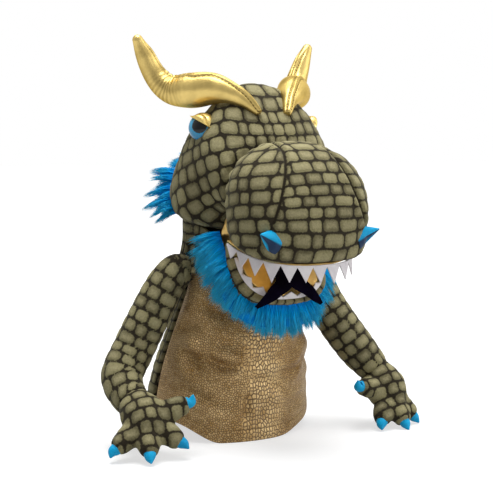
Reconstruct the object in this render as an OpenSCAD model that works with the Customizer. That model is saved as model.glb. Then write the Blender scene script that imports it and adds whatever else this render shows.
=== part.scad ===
// Dragon hand puppet with a moving mouth: a cloth sleeve for the arm, a stuffed head with
// a pocket for the fingers, a hinged lower jaw with a pocket for the thumb, and two stuffed arms.
// Millimetres, +Z up, the face looks along -Y, and the origin is the middle of the hem.

/* [Fabrics] */
// Thickness of the scaled plush
plush_t = 2.4; // [1.5:0.1:3.5]
// Thickness of the satin linings
lining_t = 0.9; // [0.6:0.1:1.5]
// Thickness of the felt of the teeth and the tongue
felt_t = 1.4; // [1:0.1:2]
// Thickness of the card boards behind the mouth
board_t = 2; // [1.5:0.1:3]
// Gap left between one sewn layer and the next
layer_gap = 0.3; // [0.2:0.05:0.4]

/* [Sleeve] */
// Height of the sleeve from the hem to the collar
sleeve_h = 158; // [150:1:160]
// Width of the hem, side to side
hem_w = 146; // [130:1:160]
// Depth of the hem, front to back
hem_d = 116; // [104:1:130]
// Width of the sleeve at the shoulders
shoulder_w = 94; // [88:1:104]
// Depth of the sleeve at the shoulders
shoulder_d = 70; // [69:1:73]
// How far the collar leans forward of the hem
lean = 22; // [20:1:24]
// Height that the hem rises at each side
hem_arch = 18; // [4:1:26]
// Half of the angle that the belly panel covers round the front
belly_angle = 90; // [80:1:98]
// Height of the satin facing turned up inside the hem
facing_h = 24; // [12:1:40]

/* [Neck] */
// Outside diameter of the neck tube
neck_d = 62; // [58:1:63]
// Height of the back of the neck tube above the collar
neck_rise = 34; // [28:1:38]
// Length of the neck tube below the collar
neck_tuck = 8; // [6:1:12]
// How far the neck's cloth bulges over each shoulder
neck_roll = 7; // [0:1:8]
// Height of the nodding axis above the collar
nod_rise = 18; // [14:1:20]

/* [Head] */
// How far the mouth hinge lies in front of the hem's middle
hinge_fwd = 73; // [72:1:76]
// Height of the mouth hinge
hinge_z = 170; // [169:1:174]
// Width of the head across the cheeks
head_w = 124; // [116:1:132]
// Height of the crown above the mouth hinge
crown_h = 122; // [116:1:128]
// Depth of the head behind the mouth hinge
head_back = 96; // [95:1:102]

/* [Snout] */
// Width of the snout
snout_w = 112; // [108:1:116]
// Length of the snout in front of the mouth hinge
snout_len = 68; // [66:1:72]
// Height of the snout above the mouth hinge
snout_h = 74; // [70:1:78]
// Width of the finger pocket
finger_w = 76; // [68:1:80]
// Height of the finger pocket
finger_h = 26; // [22:1:30]

/* [Jaw] */
// Width of the lower jaw
jaw_w = 90; // [84:1:92]
// Length of the lower jaw from its hinge
jaw_len = 56; // [54:1:57]
// Depth of the lower jaw
jaw_depth = 28; // [27:1:30]
// Angle of the open jaw below the level
jaw_angle = 62; // [58:1:63]
// Width of the thumb pocket
thumb_w = 34; // [28:1:40]
// Height of the thumb pocket
thumb_h = 13; // [11:0.5:13.5]

/* [Teeth and tongue] */
// Number of upper teeth
upper_teeth_n = 13; // [9:2:15]
// Length of the upper teeth
upper_tooth = 14; // [10:1:16]
// Number of lower teeth
lower_teeth_n = 9; // [7:2:11]
// Length of the lower teeth at the front
lower_tooth = 8; // [6:0.5:8]
// Width of the tongue
tongue_w = 26; // [22:1:29]

/* [Horns] */
// Largest diameter of a horn
horn_d = 29; // [25:1:32]
// Height of the horn tips above the mouth hinge
horn_top = 160; // [152:1:166]
// Distance between the horn tips
horn_span = 167; // [158:1:176]

/* [Eyes] */
// Diameter of an eye
eye_d = 21; // [18:1:23]
// Diameter of an eye's shank
shank_d = 5; // [4:0.5:6]
// Height of the eyes above the mouth hinge
eye_rise = 86; // [82:1:89]

/* [Arms] */
// Thickness of an arm at its elbow
arm_d = 35; // [31:1:38]
// Width of a hand
hand_w = 46; // [42:1:50]
// Length of a claw
claw_len = 7; // [5:1:9]

/* [Fur] */
// Thickness of the fur ruff
fur_t = 22; // [18:1:26]

/* [Hidden] */

around = 24;
hinge = [0, -hinge_fwd, hinge_z];
neck_y = -lean;
collar_d = neck_d + 2 * (plush_t + 2 * layer_gap);
lip_pitch = 16;
pad_rise = 46;
snout_half = snout_w / 2;
jaw_half = jaw_w / 2;
plush = "#86835a";
gold = "#cfae5e";
crackle = "#8a6a3c";
fur_blue = "#1593d6";
satin_blue = "#1fa4dc";
felt_white = "#f2f1ec";
navy = "#1d2440";
satin_copper = "#c9803c";
foam = "#d9d4c4";

// Scalar blend from a to b, eased at both ends
function ease(t) = let (c = max(0, min(1, t))) c * c * (3 - 2 * c);
function mix(a, b, t) = a + (b - a) * t;
function unit(v) = v / max(norm(v), 0.000001);
function spow(v, p) = sign(v) * pow(abs(v), p);

// Closed section across the head or the snout, from its bottom b to its top t in the middle plane:
// half width w, squareness of the upper and lower halves, and narrowing towards the top
function section(b, t, w, n_up = 2.2, n_down = 2.2, taper = 0) =
    let (mid = (b + t) / 2, v = (t - b) / 2)
    [for (i = [0:around - 1])
        let (a = 360 * i / around, n = sin(a) >= 0 ? n_up : n_down)
        mid + v * spow(sin(a), 2 / n)
            + [w * spow(cos(a), 2 / n) * (1 - taper * sin(a)), 0, 0]];

// Round section at c, across the direction d, with half sizes a (sideways) and b
function disc(c, d, a, b, count) =
    let (f = unit(d), g = abs(f[2]) > 0.95 ? [0, -1, 0] : [0, 0, 1], s = unit(cross(g, f)), u = cross(f, s))
    [for (i = [0:count - 1]) c + s * a * cos(360 * i / count) + u * b * sin(360 * i / count)];

// Rings along a path of points, with a half size for each point
function sweep(path, sizes, flat = 1, count = 12) =
    [for (i = [0:len(path) - 1])
        let (lo = path[max(i - 1, 0)], hi = path[min(i + 1, len(path) - 1)])
        disc(path[i], hi - lo, sizes[i], sizes[i] * flat, count)];

// Outward normal of a grid of points
function grid_normal(g, i, j, wrap) =
    let (last = len(g) - 1, n = len(g[0]),
        up = g[min(i + 1, last)][j] - g[max(i - 1, 0)][j],
        along = wrap ? g[i][(j + 1) % n] - g[i][(j + n - 1) % n]
            : g[i][min(j + 1, n - 1)] - g[i][max(j - 1, 0)])
    unit(cross(along, up));

// The grid moved inwards by d
function inset(g, d, wrap = true) =
    [for (i = [0:len(g) - 1]) [for (j = [0:len(g[0]) - 1]) g[i][j] - d * grid_normal(g, i, j, wrap)]];

function flat_list(g) = [for (row = g) for (p = row) p];
function mean(ring) = [for (k = [0:2]) let (s = [for (p = ring) p[k]]) sum(s) / len(s)];
function sum(s, i = 0) = i == len(s) ? 0 : s[i] + sum(s, i + 1);

// Triangles of a grid that starts at point o; turned over for an inner side
function grid_faces(rows, n, o, wrap, over = false) =
    [for (i = [0:rows - 2]) for (j = [0:n - (wrap ? 1 : 2)])
        let (k = (j + 1) % n, a = o + i * n + j, b = o + i * n + k, c = b + n, d = a + n)
        each over ? [[a, b, c], [a, c, d]] : [[a, c, b], [a, d, c]]];

// Triangles from a ring that starts at point o to the point c
function fan(o, n, c, over = false) =
    [for (j = [0:n - 1]) let (k = (j + 1) % n) over ? [c, o + k, o + j] : [c, o + j, o + k]];

// Triangles between two rings of points that start at a and b
function band(a, b, n, over = false) =
    [for (j = [0:n - 1]) let (k = (j + 1) % n)
        each over ? [[a + j, a + k, b + k], [a + j, b + k, b + j]]
            : [[a + j, b + k, a + k], [a + j, b + j, b + k]]];

// Solid through a list of rings, closed at both ends
module loft(rings) {
    m = len(rings);
    n = len(rings[0]);
    polyhedron(concat(flat_list(rings), [mean(rings[0]), mean(rings[m - 1])]),
        concat(grid_faces(m, n, 0, true), fan(0, n, m * n), fan((m - 1) * n, n, m * n + 1, true)));
}

// Wall between two lists of rings, open at both ends
module tube(outer, inner) {
    m = len(outer);
    n = len(outer[0]);
    polyhedron(concat(flat_list(outer), flat_list(inner)),
        concat(grid_faces(m, n, 0, true), grid_faces(m, n, m * n, true, true),
            band(m * n, 0, n), band((m - 1) * n, (2 * m - 1) * n, n)));
}

// Wall between two lists of rings, open at the first ring and closed beyond the last
module cup(outer, inner, close_out, close_in) {
    m = len(outer);
    k = len(inner);
    n = len(outer[0]);
    polyhedron(concat(flat_list(outer), flat_list(inner), [close_out, close_in]),
        concat(grid_faces(m, n, 0, true), grid_faces(k, n, m * n, true, true), band(m * n, 0, n),
            fan((m - 1) * n, n, (m + k) * n, true), fan((m + k - 1) * n, n, (m + k) * n + 1)));
}

// Curved sheet between a front grid and a back grid
module sheet(front, back) {
    m = len(front);
    n = len(front[0]);
    o = m * n;
    polyhedron(concat(flat_list(front), flat_list(back)),
        concat(grid_faces(m, n, 0, false), grid_faces(m, n, o, false, true),
            [for (j = [0:n - 2]) each [[j, j + 1, o + j + 1], [j, o + j + 1, o + j]]],
            [for (j = [0:n - 2]) let (a = (m - 1) * n + j)
                each [[a, o + a + 1, a + 1], [a, o + a, o + a + 1]]],
            [for (i = [0:m - 2]) let (a = i * n) each [[a, o + a + n, a + n], [a, o + a, o + a + n]]],
            [for (i = [0:m - 2]) let (a = i * n + n - 1)
                each [[a, a + n, o + a + n], [a, o + a + n, o + a]]]));
}

module mirrored() {
    mirror([1, 0, 0])
        children();
}

// Point of the sleeve at the share s of its height and the angle a from +X
sleeve_steps = [0, 0.1, 0.24, 0.4, 0.56, 0.72, 0.85, 0.94, 0.975, 1];
function hem_lift(a) = hem_arch * ease((abs(cos(a)) - 0.5) / 0.5);
function sleeve_half(s, hem, shoulder) =
    s < 0.94 ? let (t = pow(s / 0.94, 1.25)) mix(hem, shoulder, ease(t) * 0.7 + t * 0.3) / 2
        : mix(shoulder, collar_d, ease((s - 0.94) / 0.06)) / 2;
function sleeve_point(s, a) =
    [sleeve_half(s, hem_w, shoulder_w) * cos(a),
        sleeve_half(s, hem_d, shoulder_d) * sin(a) - lean * (0.35 * s + 0.65 * ease(s)),
        mix(hem_lift(a), sleeve_h, s)];
function sleeve_normal(s, a) =
    let (along = sleeve_point(s, a + 2) - sleeve_point(s, a - 2))
    unit([along[1], -along[0], 0]);
function sleeve_skin(angles, steps, d) =
    [for (s = steps) [for (a = angles) sleeve_point(s, a) - d * sleeve_normal(s, a)]];
seam_gap = 57.3 * layer_gap / (collar_d / 2);
belly_angles = [for (i = [0:14]) 270 - belly_angle + i * belly_angle / 7];
back_angles = [for (i = [0:14]) mix(belly_angle - 90 + seam_gap, 270 - belly_angle - seam_gap, i / 14)];
full_angles = [for (i = [0:around - 1]) 360 * i / around];

module belly_panel() {
    color(crackle)
        sheet(sleeve_skin(belly_angles, sleeve_steps, 0), sleeve_skin(belly_angles, sleeve_steps, plush_t));
}

module back_panel() {
    color(plush)
        sheet(sleeve_skin(back_angles, sleeve_steps, 0), sleeve_skin(back_angles, sleeve_steps, plush_t));
}

module sleeve_lining() {
    steps = [0.02, 0.1, 0.24, 0.4, 0.56, 0.72, 0.85];
    d = plush_t + 2 * layer_gap;
    color(satin_copper)
        tube(sleeve_skin(full_angles, steps, d), sleeve_skin(full_angles, steps, d + lining_t));
}

module hem_facing() {
    top = facing_h / sleeve_h;
    steps = [0.01, top / 2, top];
    d = plush_t + lining_t + 4 * layer_gap;
    color(satin_copper)
        tube(sleeve_skin(full_angles, steps, d), sleeve_skin(full_angles, steps, d + lining_t));
}

// The neck tube is cut low at the front, so that the thumb passes over its edge, and bulges at the sides
function neck_ring(r, base, rise, roll = 0) =
    [for (a = full_angles) let (q = r + roll * pow(abs(cos(a)), 3))
        [q * cos(a), neck_y + q * sin(a), base + rise * (0.15 + 0.85 * ease((sin(a) + 1) / 2))]];
neck_low = sleeve_h - neck_tuck;

module neck_tube() {
    r = neck_d / 2;
    color(plush)
        tube([neck_ring(r, neck_low, 0), neck_ring(r, sleeve_h, 0),
                neck_ring(r, sleeve_h, neck_rise * 0.22, neck_roll), neck_ring(r, sleeve_h, neck_rise * 0.5),
                neck_ring(r, sleeve_h, neck_rise)],
            [for (q = [[neck_low, 0], [sleeve_h, 0], [sleeve_h, 0.22], [sleeve_h, 0.5], [sleeve_h, 1]])
                neck_ring(r - plush_t, q[0], q[1] * neck_rise)]);
}

// Head sections from the neck opening, whose sides are sewn to the neck, to the brow: bottom and top
// as shares of the head's sizes, share of the half width, and narrowing towards the top
head_bottoms = [[12, 4], [12, 7], [11, 9], [10, 11], [8, 12], [5, 12], [2, 11], [-1, 8.5], [-4, 5.5]];
head_tops = [[0.915, 0.05], [1, 0.2], [0.97, 0.47], [0.79, 0.745], [0.54, 0.93], [0.31, 1], [0.14, 0.915],
    [0.02, 0.78]];
head_widths = [0, 0.93, 1, 0.99, 0.95, 0.92, 0.9, 0.87, 0.82];
head_tapers = [0, 0.06, 0.12, 0.15, 0.16, 0.15, 0.12, 0.08, 0.04];
brow_top = [-0.15 * snout_len, 0.97 * snout_h];
function head_ring(i) =
    let (b = head_bottoms[i], t = i < 8 ? [head_tops[i][0] * head_back, head_tops[i][1] * crown_h] : brow_top,
        w = i == 0 ? (neck_d + plush_t) / 2 + 1.5 * layer_gap : head_widths[i] * head_w / 2)
    section(hinge + [0, b[0], b[1]], hinge + [0, t[0], t[1]], w, 2.2, 2.2, head_tapers[i]);
head_grid = [for (i = [0:8]) head_ring(i)];

// Snout sections from the brow to the nose, as shares of the snout's length, height and half width
snout_backs = [-0.12, -0.3, -0.5, -0.7, -0.85, -0.94];
snout_tops = [[-0.27, 1], [-0.47, 1], [-0.69, 0.91], [-0.86, 0.72], [-0.96, 0.46], [-1, 0.17]];
snout_widths = [0.94, 1, 1, 0.93, 0.77, 0.46];
snout_square = [4, 7, 8, 8, 6, 3];
function lip_z(y) = y * tan(lip_pitch);
function snout_ring(i) =
    let (y = snout_backs[i] * snout_len, t = snout_tops[i])
    section(hinge + [0, y, lip_z(y) + (i == 5 ? 3 : 0)], hinge + [0, t[0] * snout_len, t[1] * snout_h],
        snout_widths[i] * snout_half, 2.5, snout_square[i], 0.03);
brow_step = layer_gap * unit(cross([1, 0, 0], [0, brow_top[0] + 4, brow_top[1] - 5.5]));
snout_grid = concat([[for (p = head_ring(8)) p + brow_step]], [for (i = [0:5]) snout_ring(i)]);
nose = hinge + [0, -1.005 * snout_len, -0.02 * snout_h];

// Solid forms of the head, the snout and the jaw, grown by g, that seat the pieces sewn on them
module head_form(g) {
    loft(inset(head_grid, -g));
}

module snout_form(g) {
    grown = inset(snout_grid, -g);
    loft(concat(grown, [[for (p = grown[6]) mix(p, nose + [0, -g, 0], 0.8)]]));
}

module head_cover() {
    color(plush)
        tube(head_grid, inset(head_grid, plush_t));
}

module snout_cover() {
    color(plush)
        cup(snout_grid, inset(snout_grid, plush_t), nose, nose + [0, plush_t, 0]);
}

// Stuffing pad in the crown, above the hand
module crown_stuffing() {
    low = hinge_z + pad_rise;
    g = inset(head_grid, plush_t + layer_gap);
    color(foam)
        loft([for (i = [2:6])
            let (top = g[i][6], f = (top[2] - low) / (top[2] - g[i][18][2]))
            [for (p = g[i]) let (q = mix(top, p, f)) [0.88 * q[0], q[1], q[2]]]]);
}

// Stuffing pad in the top of the snout, above the fingers
palate_top = (plush_t + 2 * layer_gap) / cos(lip_pitch);
pocket_floor = palate_top + board_t + layer_gap;
module snout_stuffing() {
    low = hinge[2] + pocket_floor + finger_h + 2 * layer_gap;
    g = inset(snout_grid, plush_t + layer_gap);
    color(foam)
        loft([for (i = [1:5]) [for (p = g[i]) [p[0] * 0.9, p[1] + 1, max(low, mix(low, p[2], 0.9))]]]);
}

// Pocket for the fingers, open towards the hand
pocket_ys = [-0.16, -0.4, -0.66, -0.82];
pocket_widths = [1, 1, 0.9, 0.66];
function pocket_ring(i, g) =
    let (y = pocket_ys[i] * snout_len + g, z = lip_z(y) + pocket_floor + layer_gap,
        h = finger_h * (i == 3 ? 0.8 : 1), w = finger_w / 2 * pocket_widths[i])
    section(hinge + [0, y, z + g], hinge + [0, y - 2, z + h - g], w - g, 3.2, 4);

module finger_pocket() {
    outer = [for (i = [0:3]) pocket_ring(i, 0)];
    inner = [for (i = [0:3]) pocket_ring(i, i == 0 ? 0 : lining_t)];
    end = hinge + [0, -0.86 * snout_len, lip_z(-0.86 * snout_len) + pocket_floor + finger_h / 2];
    thin = [for (p = pocket_ring(0, 0)) p + (mean(pocket_ring(0, 0)) - p) * lining_t / (finger_h / 2)];
    color(satin_copper)
        cup(outer, concat([thin], [inner[1], inner[2], inner[3]]), end, end + [0, lining_t, 0]);
}

// Flat tongue-shaped sheet that follows the lip: half width w, from y0 to y1, top at height z over the lip
function lip_sheet(w, y0, y1, z) =
    [for (i = [0:8]) let (f = i / 8, y = mix(y0, y1, f), h = w * pow(max(0, 1 - pow(f * 0.97, 4)), 0.5))
        [for (j = [0:6]) hinge + [h * (j / 3 - 1), y, lip_z(y) + z]]];

module palate_board() {
    y0 = -0.3 * snout_len;
    y1 = -0.84 * snout_len;
    w = snout_half * 0.66;
    color(foam)
        sheet(lip_sheet(w, y0, y1, palate_top), lip_sheet(w, y0, y1, palate_top + board_t));
}

fold_r = 2.4;
palate_w = snout_half * 0.83;
palate_end = -0.87 * snout_len;
module palate_lining() {
    a = lip_sheet(palate_w, -fold_r - 2 * layer_gap, palate_end, -layer_gap);
    b = lip_sheet(palate_w, -fold_r - 2 * layer_gap, palate_end, -layer_gap - lining_t);
    color(gold)
        sheet(b, a);
}

// Outline of a lip in plan, from the right corner to the left, as [length, x, y] for lookup
function lip_outline(w, l, y0, n) =
    [for (i = [0:48]) let (a = 180 * i / 48) [-w * spow(cos(a), 2 / n), y0 - (l + y0) * spow(sin(a), 2 / n)]];
function run(o, i = 0, s = 0) = i == len(o) ? [] :
    let (t = i == 0 ? 0 : s + norm(o[i] - o[i - 1])) concat([[t, o[i][0], o[i][1]]], run(o, i + 1, t));
function at(r, f) =
    let (s = f * r[len(r) - 1][0])
    [lookup(s, [for (q = r) [q[0], q[1]]]), lookup(s, [for (q = r) [q[0], q[2]]])];
function outward(r, f) =
    let (a = at(r, max(0, f - 0.01)), b = at(r, min(1, f + 0.01)))
    unit([a[1] - b[1], b[0] - a[0]]);

// Zigzag strip of teeth along an outline: n teeth of height h, standing up or hanging down, that may lean in
module teeth_strip(r, n, h, up, base_z, slope, lean_in = 0) {
    stops = [for (k = [0:2 * n]) k / (2 * n)];
    function edge(k, side, row) =
        let (p = at(r, stops[k]), o = outward(r, stops[k]) * side * felt_t / 2, y = p[1] + o[1],
            tall = k % 2 == 1 ? h * min(1, 0.3 + abs(p[1]) / 50) : 1.2,
            q = row * tall * sin(lean_in) * outward(r, stops[k]))
        [p[0] + o[0] - q[0], y - q[1], base_z + slope * p[1] + row * up * tall * cos(lean_in)];
    out = [for (row = [0, 1]) [for (k = [0:2 * n]) edge(k, 1, row)]];
    back = [for (row = [0, 1]) [for (k = [0:2 * n]) edge(k, -1, row)]];
    translate(hinge)
        if (up > 0)
            sheet(back, out);
        else
            sheet(out, back);
}

upper_run = run(lip_outline(snout_half * 0.9, snout_len * 0.92, -10, 2.6));
module upper_teeth() {
    color(felt_white)
        teeth_strip(upper_run, upper_teeth_n, upper_tooth, -1, -layer_gap, tan(lip_pitch));
}

// Roll of lining on the hinge line of the mouth
module mouth_fold() {
    color(gold)
        translate(hinge - [jaw_half * 0.86, 0, 0])
            rotate([0, 90, 0])
                cylinder(h = jaw_w * 0.86, r = fold_r, $fn = 32);
}

// Stuffed horn of the left side, curving outwards and then up, seated on the head
horn_xs = [0.16, 0.287, 0.455, 0.6, 0.72, 0.826, 0.928, 1];
horn_ys = [2, 15, 31, 47, 62, 71, 74.5, 75];
horn_zs = [0.612, 0.69, 0.733, 0.728, 0.735, 0.797, 0.903, 1];
horn_rs = [0.22, 0.55, 0.88, 1, 0.8, 0.66, 0.5, 0.2];
module horn() {
    path = [for (i = [0:7]) hinge + [horn_xs[i] * horn_span / 2, horn_ys[i], horn_zs[i] * horn_top]];
    color(gold)
        difference() {
            loft(sweep(path, horn_rs * horn_d / 2, 1, 14));
            head_form(layer_gap);
        }
}

module horn_left() {
    horn();
}

module horn_right() {
    mirrored()
        horn();
}

// Places a child on the left eye's seat, with +Z looking out of the head
eye_seat = hinge + [head_w * 0.415, 0.34 * head_back, eye_rise];
module at_eye() {
    translate(eye_seat)
        rotate([0, 0, -18])
            rotate([0, 66, 0])
                children();
}

eye_dome = 0.72;
module eye() {
    r = eye_d / 2;
    dome = [for (a = [0:15:90]) [r * cos(a), r * eye_dome * sin(a)]];
    color(satin_blue)
        at_eye()
            rotate_extrude($fn = 32)
                polygon(concat([[0, -14], [shank_d / 2, -14], [shank_d / 2, 0]], dome));
}

module eye_left() {
    eye();
}

module eye_right() {
    mirrored()
        eye();
}

module pupil() {
    r = eye_d / 2 + layer_gap;
    low = [for (a = [80:-10:50]) [r * cos(a), r * eye_dome * sin(a)]];
    high = [for (a = [50:10:80]) [(r + 0.6) * cos(a), (r + 0.8) * eye_dome * sin(a)]];
    color("#101014")
        at_eye()
            rotate_extrude($fn = 32)
                polygon(concat([[0, r * eye_dome]], low, high, [[0, (r + 0.8) * eye_dome]]));
}

module pupil_left() {
    pupil();
}

module pupil_right() {
    mirrored()
        pupil();
}

// Lock washers on the shanks, inside the head
module washer() {
    at_eye()
        translate([0, 0, -plush_t - 8])
            difference() {
                cylinder(h = 2, d = shank_d + 8, $fn = 36);
                translate([0, 0, -1])
                    cylinder(h = 4, d = shank_d + 2 * layer_gap, $fn = 36);
            }
}

module eye_washers() {
    color("#d8d8d4") {
        washer();
        mirrored()
            washer();
    }
}

// Padded lid that hoods the upper front of the left eye
module eyelid() {
    r = eye_d / 2 + 2 * layer_gap + 0.8;
    function lid(i, j, grow) =
        let (a = mix(118, 284, j / 12), e = mix(8, 62, i / 5),
            pad = 1 + grow * sin(180 * j / 12) * (1 - 0.5 * i / 5),
            q = r + (grow == 0 ? 0 : 1.2 + pad), high = eye_dome * (grow == 0 ? 1 : 1.12))
        [q * cos(e) * cos(a), q * cos(e) * sin(a), q * high * sin(e) - (i == 0 ? 5 : 0)];
    inner = [for (i = [0:5]) [for (j = [0:12]) lid(i, j, 0)]];
    outer = [for (i = [0:5]) [for (j = [0:12]) lid(i, j, 6)]];
    color(gold)
        difference() {
            at_eye()
                sheet(outer, inner);
            head_form(layer_gap);
        }
}

module eyelid_left() {
    eyelid();
}

module eyelid_right() {
    mirrored()
        eyelid();
}

// Folded cone of a nostril at the left front corner of the snout
module nostril() {
    mouth = hinge + [0.714 * snout_half, -0.868 * snout_len, 0.03 * snout_h];
    tip = hinge + [0.985 * snout_half, -0.915 * snout_len, 0.09 * snout_h];
    d = unit(tip - mouth);
    rings = [disc(mouth - 3 * d, d, 8.5, 8.5, 12), disc(mix(mouth, tip, 0.45), d, 5.5, 5.5, 12),
        disc(tip, d, 0.8, 0.8, 12)];
    color(satin_blue)
        difference() {
            loft(rings);
            snout_form(layer_gap);
        }
}

module nostril_left() {
    nostril();
}

module nostril_right() {
    mirrored()
        nostril();
}

// Fur round the back of the head, from cheek to cheek
mane_at = [[-0.92, 66, 0.14], [-0.87, 82, 0.28], [-0.62, 95, 0.41], [-0.3, 99, 0.48], [0, 100, 0.5]];
module mane_fur() {
    half = [for (q = mane_at) hinge + [q[0] * head_w / 2, q[1] * head_back / 98, q[2] * crown_h]];
    path = concat(half, [for (i = [3:-1:0]) [-half[i][0], half[i][1], half[i][2]]]);
    sizes = [0.4, 0.8, 1, 1, 1, 1, 1, 0.8, 0.4] * fur_t / 2;
    color(fur_blue)
        difference() {
            loft(sweep(path, sizes, 1, 12));
            head_form(layer_gap);
        }
}

// The jaw is drawn closed, with its rim on the level of the hinge, and then opened
module opened() {
    translate(hinge)
        rotate([jaw_angle, 0, 0])
            children();
}

jaw_lows = [[-0.42, -0.82], [-0.52, -0.97], [-0.61, -0.97], [-0.77, -0.82], [-0.9, -0.6], [-0.975, -0.4]];
jaw_tops = [0.03, -0.24, -0.5, -0.73, -0.9, -0.985];
jaw_widths = [0.97, 1, 0.98, 0.9, 0.71, 0.4];
jaw_rim = 3;
jaw_grid = [for (i = [0:5])
    section([0, jaw_lows[i][0] * jaw_len, jaw_lows[i][1] * jaw_depth],
        [0, jaw_tops[i] * jaw_len, -jaw_rim - (i == 5 ? 1 : 0)], jaw_widths[i] * jaw_half, 7, 2.3)];
chin = [0, -jaw_len, -0.26 * jaw_depth];

module jaw_form(g) {
    grown = inset(jaw_grid, -g);
    opened()
        loft(concat(grown, [[for (p = grown[5]) mix(p, chin + [0, -g, 0], 0.8)]]));
}

module jaw_cover() {
    color(plush)
        opened()
            cup(jaw_grid, inset(jaw_grid, plush_t), chin, chin + [0, plush_t, 0]);
}

// Flat sheet with the outline of the jaw: half width w, from y0 to y1, at height z
function jaw_sheet(w, y0, y1, z) =
    [for (i = [0:8]) let (f = i / 8, y = mix(y0, y1, f), h = w * pow(max(0, 1 - pow(f * 0.97, 4)), 0.5))
        [for (j = [0:6]) [h * (j / 3 - 1), y, z]]];

board_top = -jaw_rim - plush_t - 2 * layer_gap;
module jaw_board() {
    y0 = -0.16 * jaw_len;
    y1 = -0.84 * jaw_len;
    w = jaw_half * 0.72;
    color(foam)
        opened()
            sheet(jaw_sheet(w, y0, y1, board_top - board_t), jaw_sheet(w, y0, y1, board_top));
}

module mouth_floor() {
    y0 = -fold_r - 2 * layer_gap;
    y1 = -0.9 * jaw_len;
    z = -jaw_rim + layer_gap;
    color(gold)
        opened()
            sheet(jaw_sheet(jaw_half * 0.82, y0, y1, z), jaw_sheet(jaw_half * 0.82, y0, y1, z + lining_t));
}

lower_run = run(lip_outline(jaw_half * 0.9, jaw_len * 0.945, -16, 2.6));
module lower_teeth() {
    color(felt_white)
        opened()
            translate(-hinge)
                teeth_strip(lower_run, lower_teeth_n, lower_tooth, 1, -jaw_rim + layer_gap, 0, 50);
}

// Pocket for the thumb, below the board
thumb_ys = [-0.44, -0.6, -0.75];
function thumb_ring(i, g) =
    let (y = thumb_ys[i] * jaw_len + g, z = board_top - board_t - layer_gap, h = thumb_h * [1, 0.95, 0.7][i])
    section([0, y - 1, z - h + g], [0, y + 2 - i, z - g], thumb_w / 2 * [1, 1, 0.8][i] - g, 3, 3);
module thumb_pocket() {
    outer = [for (i = [0:2]) thumb_ring(i, 0)];
    thin = [for (p = outer[0]) p + (mean(outer[0]) - p) * lining_t / (thumb_h / 2)];
    end = [0, -0.78 * jaw_len, board_top - board_t - 0.4 * thumb_h];
    color(satin_copper)
        opened()
            cup(outer, [thin, thumb_ring(1, lining_t), thumb_ring(2, lining_t)], end, end + [0, lining_t, 0]);
}

// Forked tongue: it lies on the mouth floor and its prongs hang over the lip
tongue_mid = [[0, -0.2, 0], [0, -0.5, 0.4], [0.15, -0.66, 2.6], [0.52, -0.86, 8], [0.63, -0.98, 6],
    [0.66, -1.02, -8]];
tongue_half = [0.5, 0.52, 0.5, 0.38, 0.3, 0.12];
module tongue_side(side) {
    low = -jaw_rim + lining_t + 2 * layer_gap;
    spread = [[1, 0], [1, 0], [0.92, -0.4], [0.7, -0.7], [0.7, -0.7], [0.7, -0.7]];
    mid = [for (q = tongue_mid) [q[0] * jaw_half, q[1] * jaw_len, low + q[2]]];
    function across(i) = [spread[i][0], -spread[i][1], 0] * tongue_half[i] * tongue_w;
    a = [for (i = [0:5])
        i < 2 ? [[-0.5, mid[i][1], mid[i][2]], mid[i] + across(i)]
            : [mid[i] - across(i) / 2, mid[i] + across(i) / 2]];
    b = [for (row = a) [for (p = row) p + [0, 0, felt_t]]];
    if (side > 0)
        sheet(a, b);
    else
        mirrored()
            sheet(a, b);
}

module tongue() {
    color(navy)
        opened()
            union() {
                tongue_side(1);
                tongue_side(-1);
            }
}

// Fur under the jaw, from one corner of the mouth round to the other
beard_at = [[-0.98, 5, -32], [-0.95, -3, -52], [-0.7, -11, -64], [-0.36, -14, -69], [0, -15, -70]];
module beard_fur() {
    half = [for (q = beard_at) hinge + [q[0] * jaw_half, q[1] * jaw_len / 58, q[2] * jaw_len / 58]];
    path = concat(half, [for (i = [3:-1:0]) [-half[i][0], half[i][1], half[i][2]]]);
    sizes = [0.5, 0.85, 1, 1.1, 1.15, 1.1, 1, 0.85, 0.5] * fur_t / 2;
    color(fur_blue)
        difference() {
            loft(sweep(path, sizes, 1, 12));
            jaw_form(layer_gap);
        }
}

// Arms: the right one is bent at the elbow, the left one hangs straighter
arm_x = sleeve_point(0.79, 0)[0] + 2 * layer_gap;
arm_z = 0.88 * sleeve_h;
arm_right_path = [[-arm_x, -20, arm_z], [-arm_x - 3, -20, arm_z], [-59, -19, arm_z + 3], [-70, -17, 129],
    [-83, -14, 104], [-97.5, -11, 75], [-109, -15, 57], [-110, -28, 45], [-108, -38, 39]];
arm_left_path = [[arm_x, -20, arm_z], [arm_x + 3, -20, arm_z], [60, -22, arm_z + 3], [71, -26, 127],
    [80, -32, 105.5], [89.5, -39, 87], [102.5, -49, 65], [110.5, -55, 53.5], [115.5, -59, 45.5]];
arm_sizes = [0.7, 0.74, 0.82, 0.93, 1, 1.02, 1, 0.9, 0.82] * arm_d / 2;
function wrist_dir(path) = unit(path[8] - path[7]);

module arm_right() {
    color(plush)
        loft(sweep(arm_right_path, arm_sizes, 1, 16));
}

module arm_left() {
    color(plush)
        loft(sweep(arm_left_path, arm_sizes, 1, 16));
}

// Hand: a palm that starts at the wrist, three fingers and a thumb
palm_right = [-107, -54, 29];
tips_right = [[-132, -56.5, 12], [-114.5, -74, 10], [-89.5, -73, 15], [-79, -64, 40]];
palm_left = [122, -67, 29];
tips_left = [[138.5, -79, 9], [122, -89, 8], [104, -83.5, 9], [91, -73, 36.5]];

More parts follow.
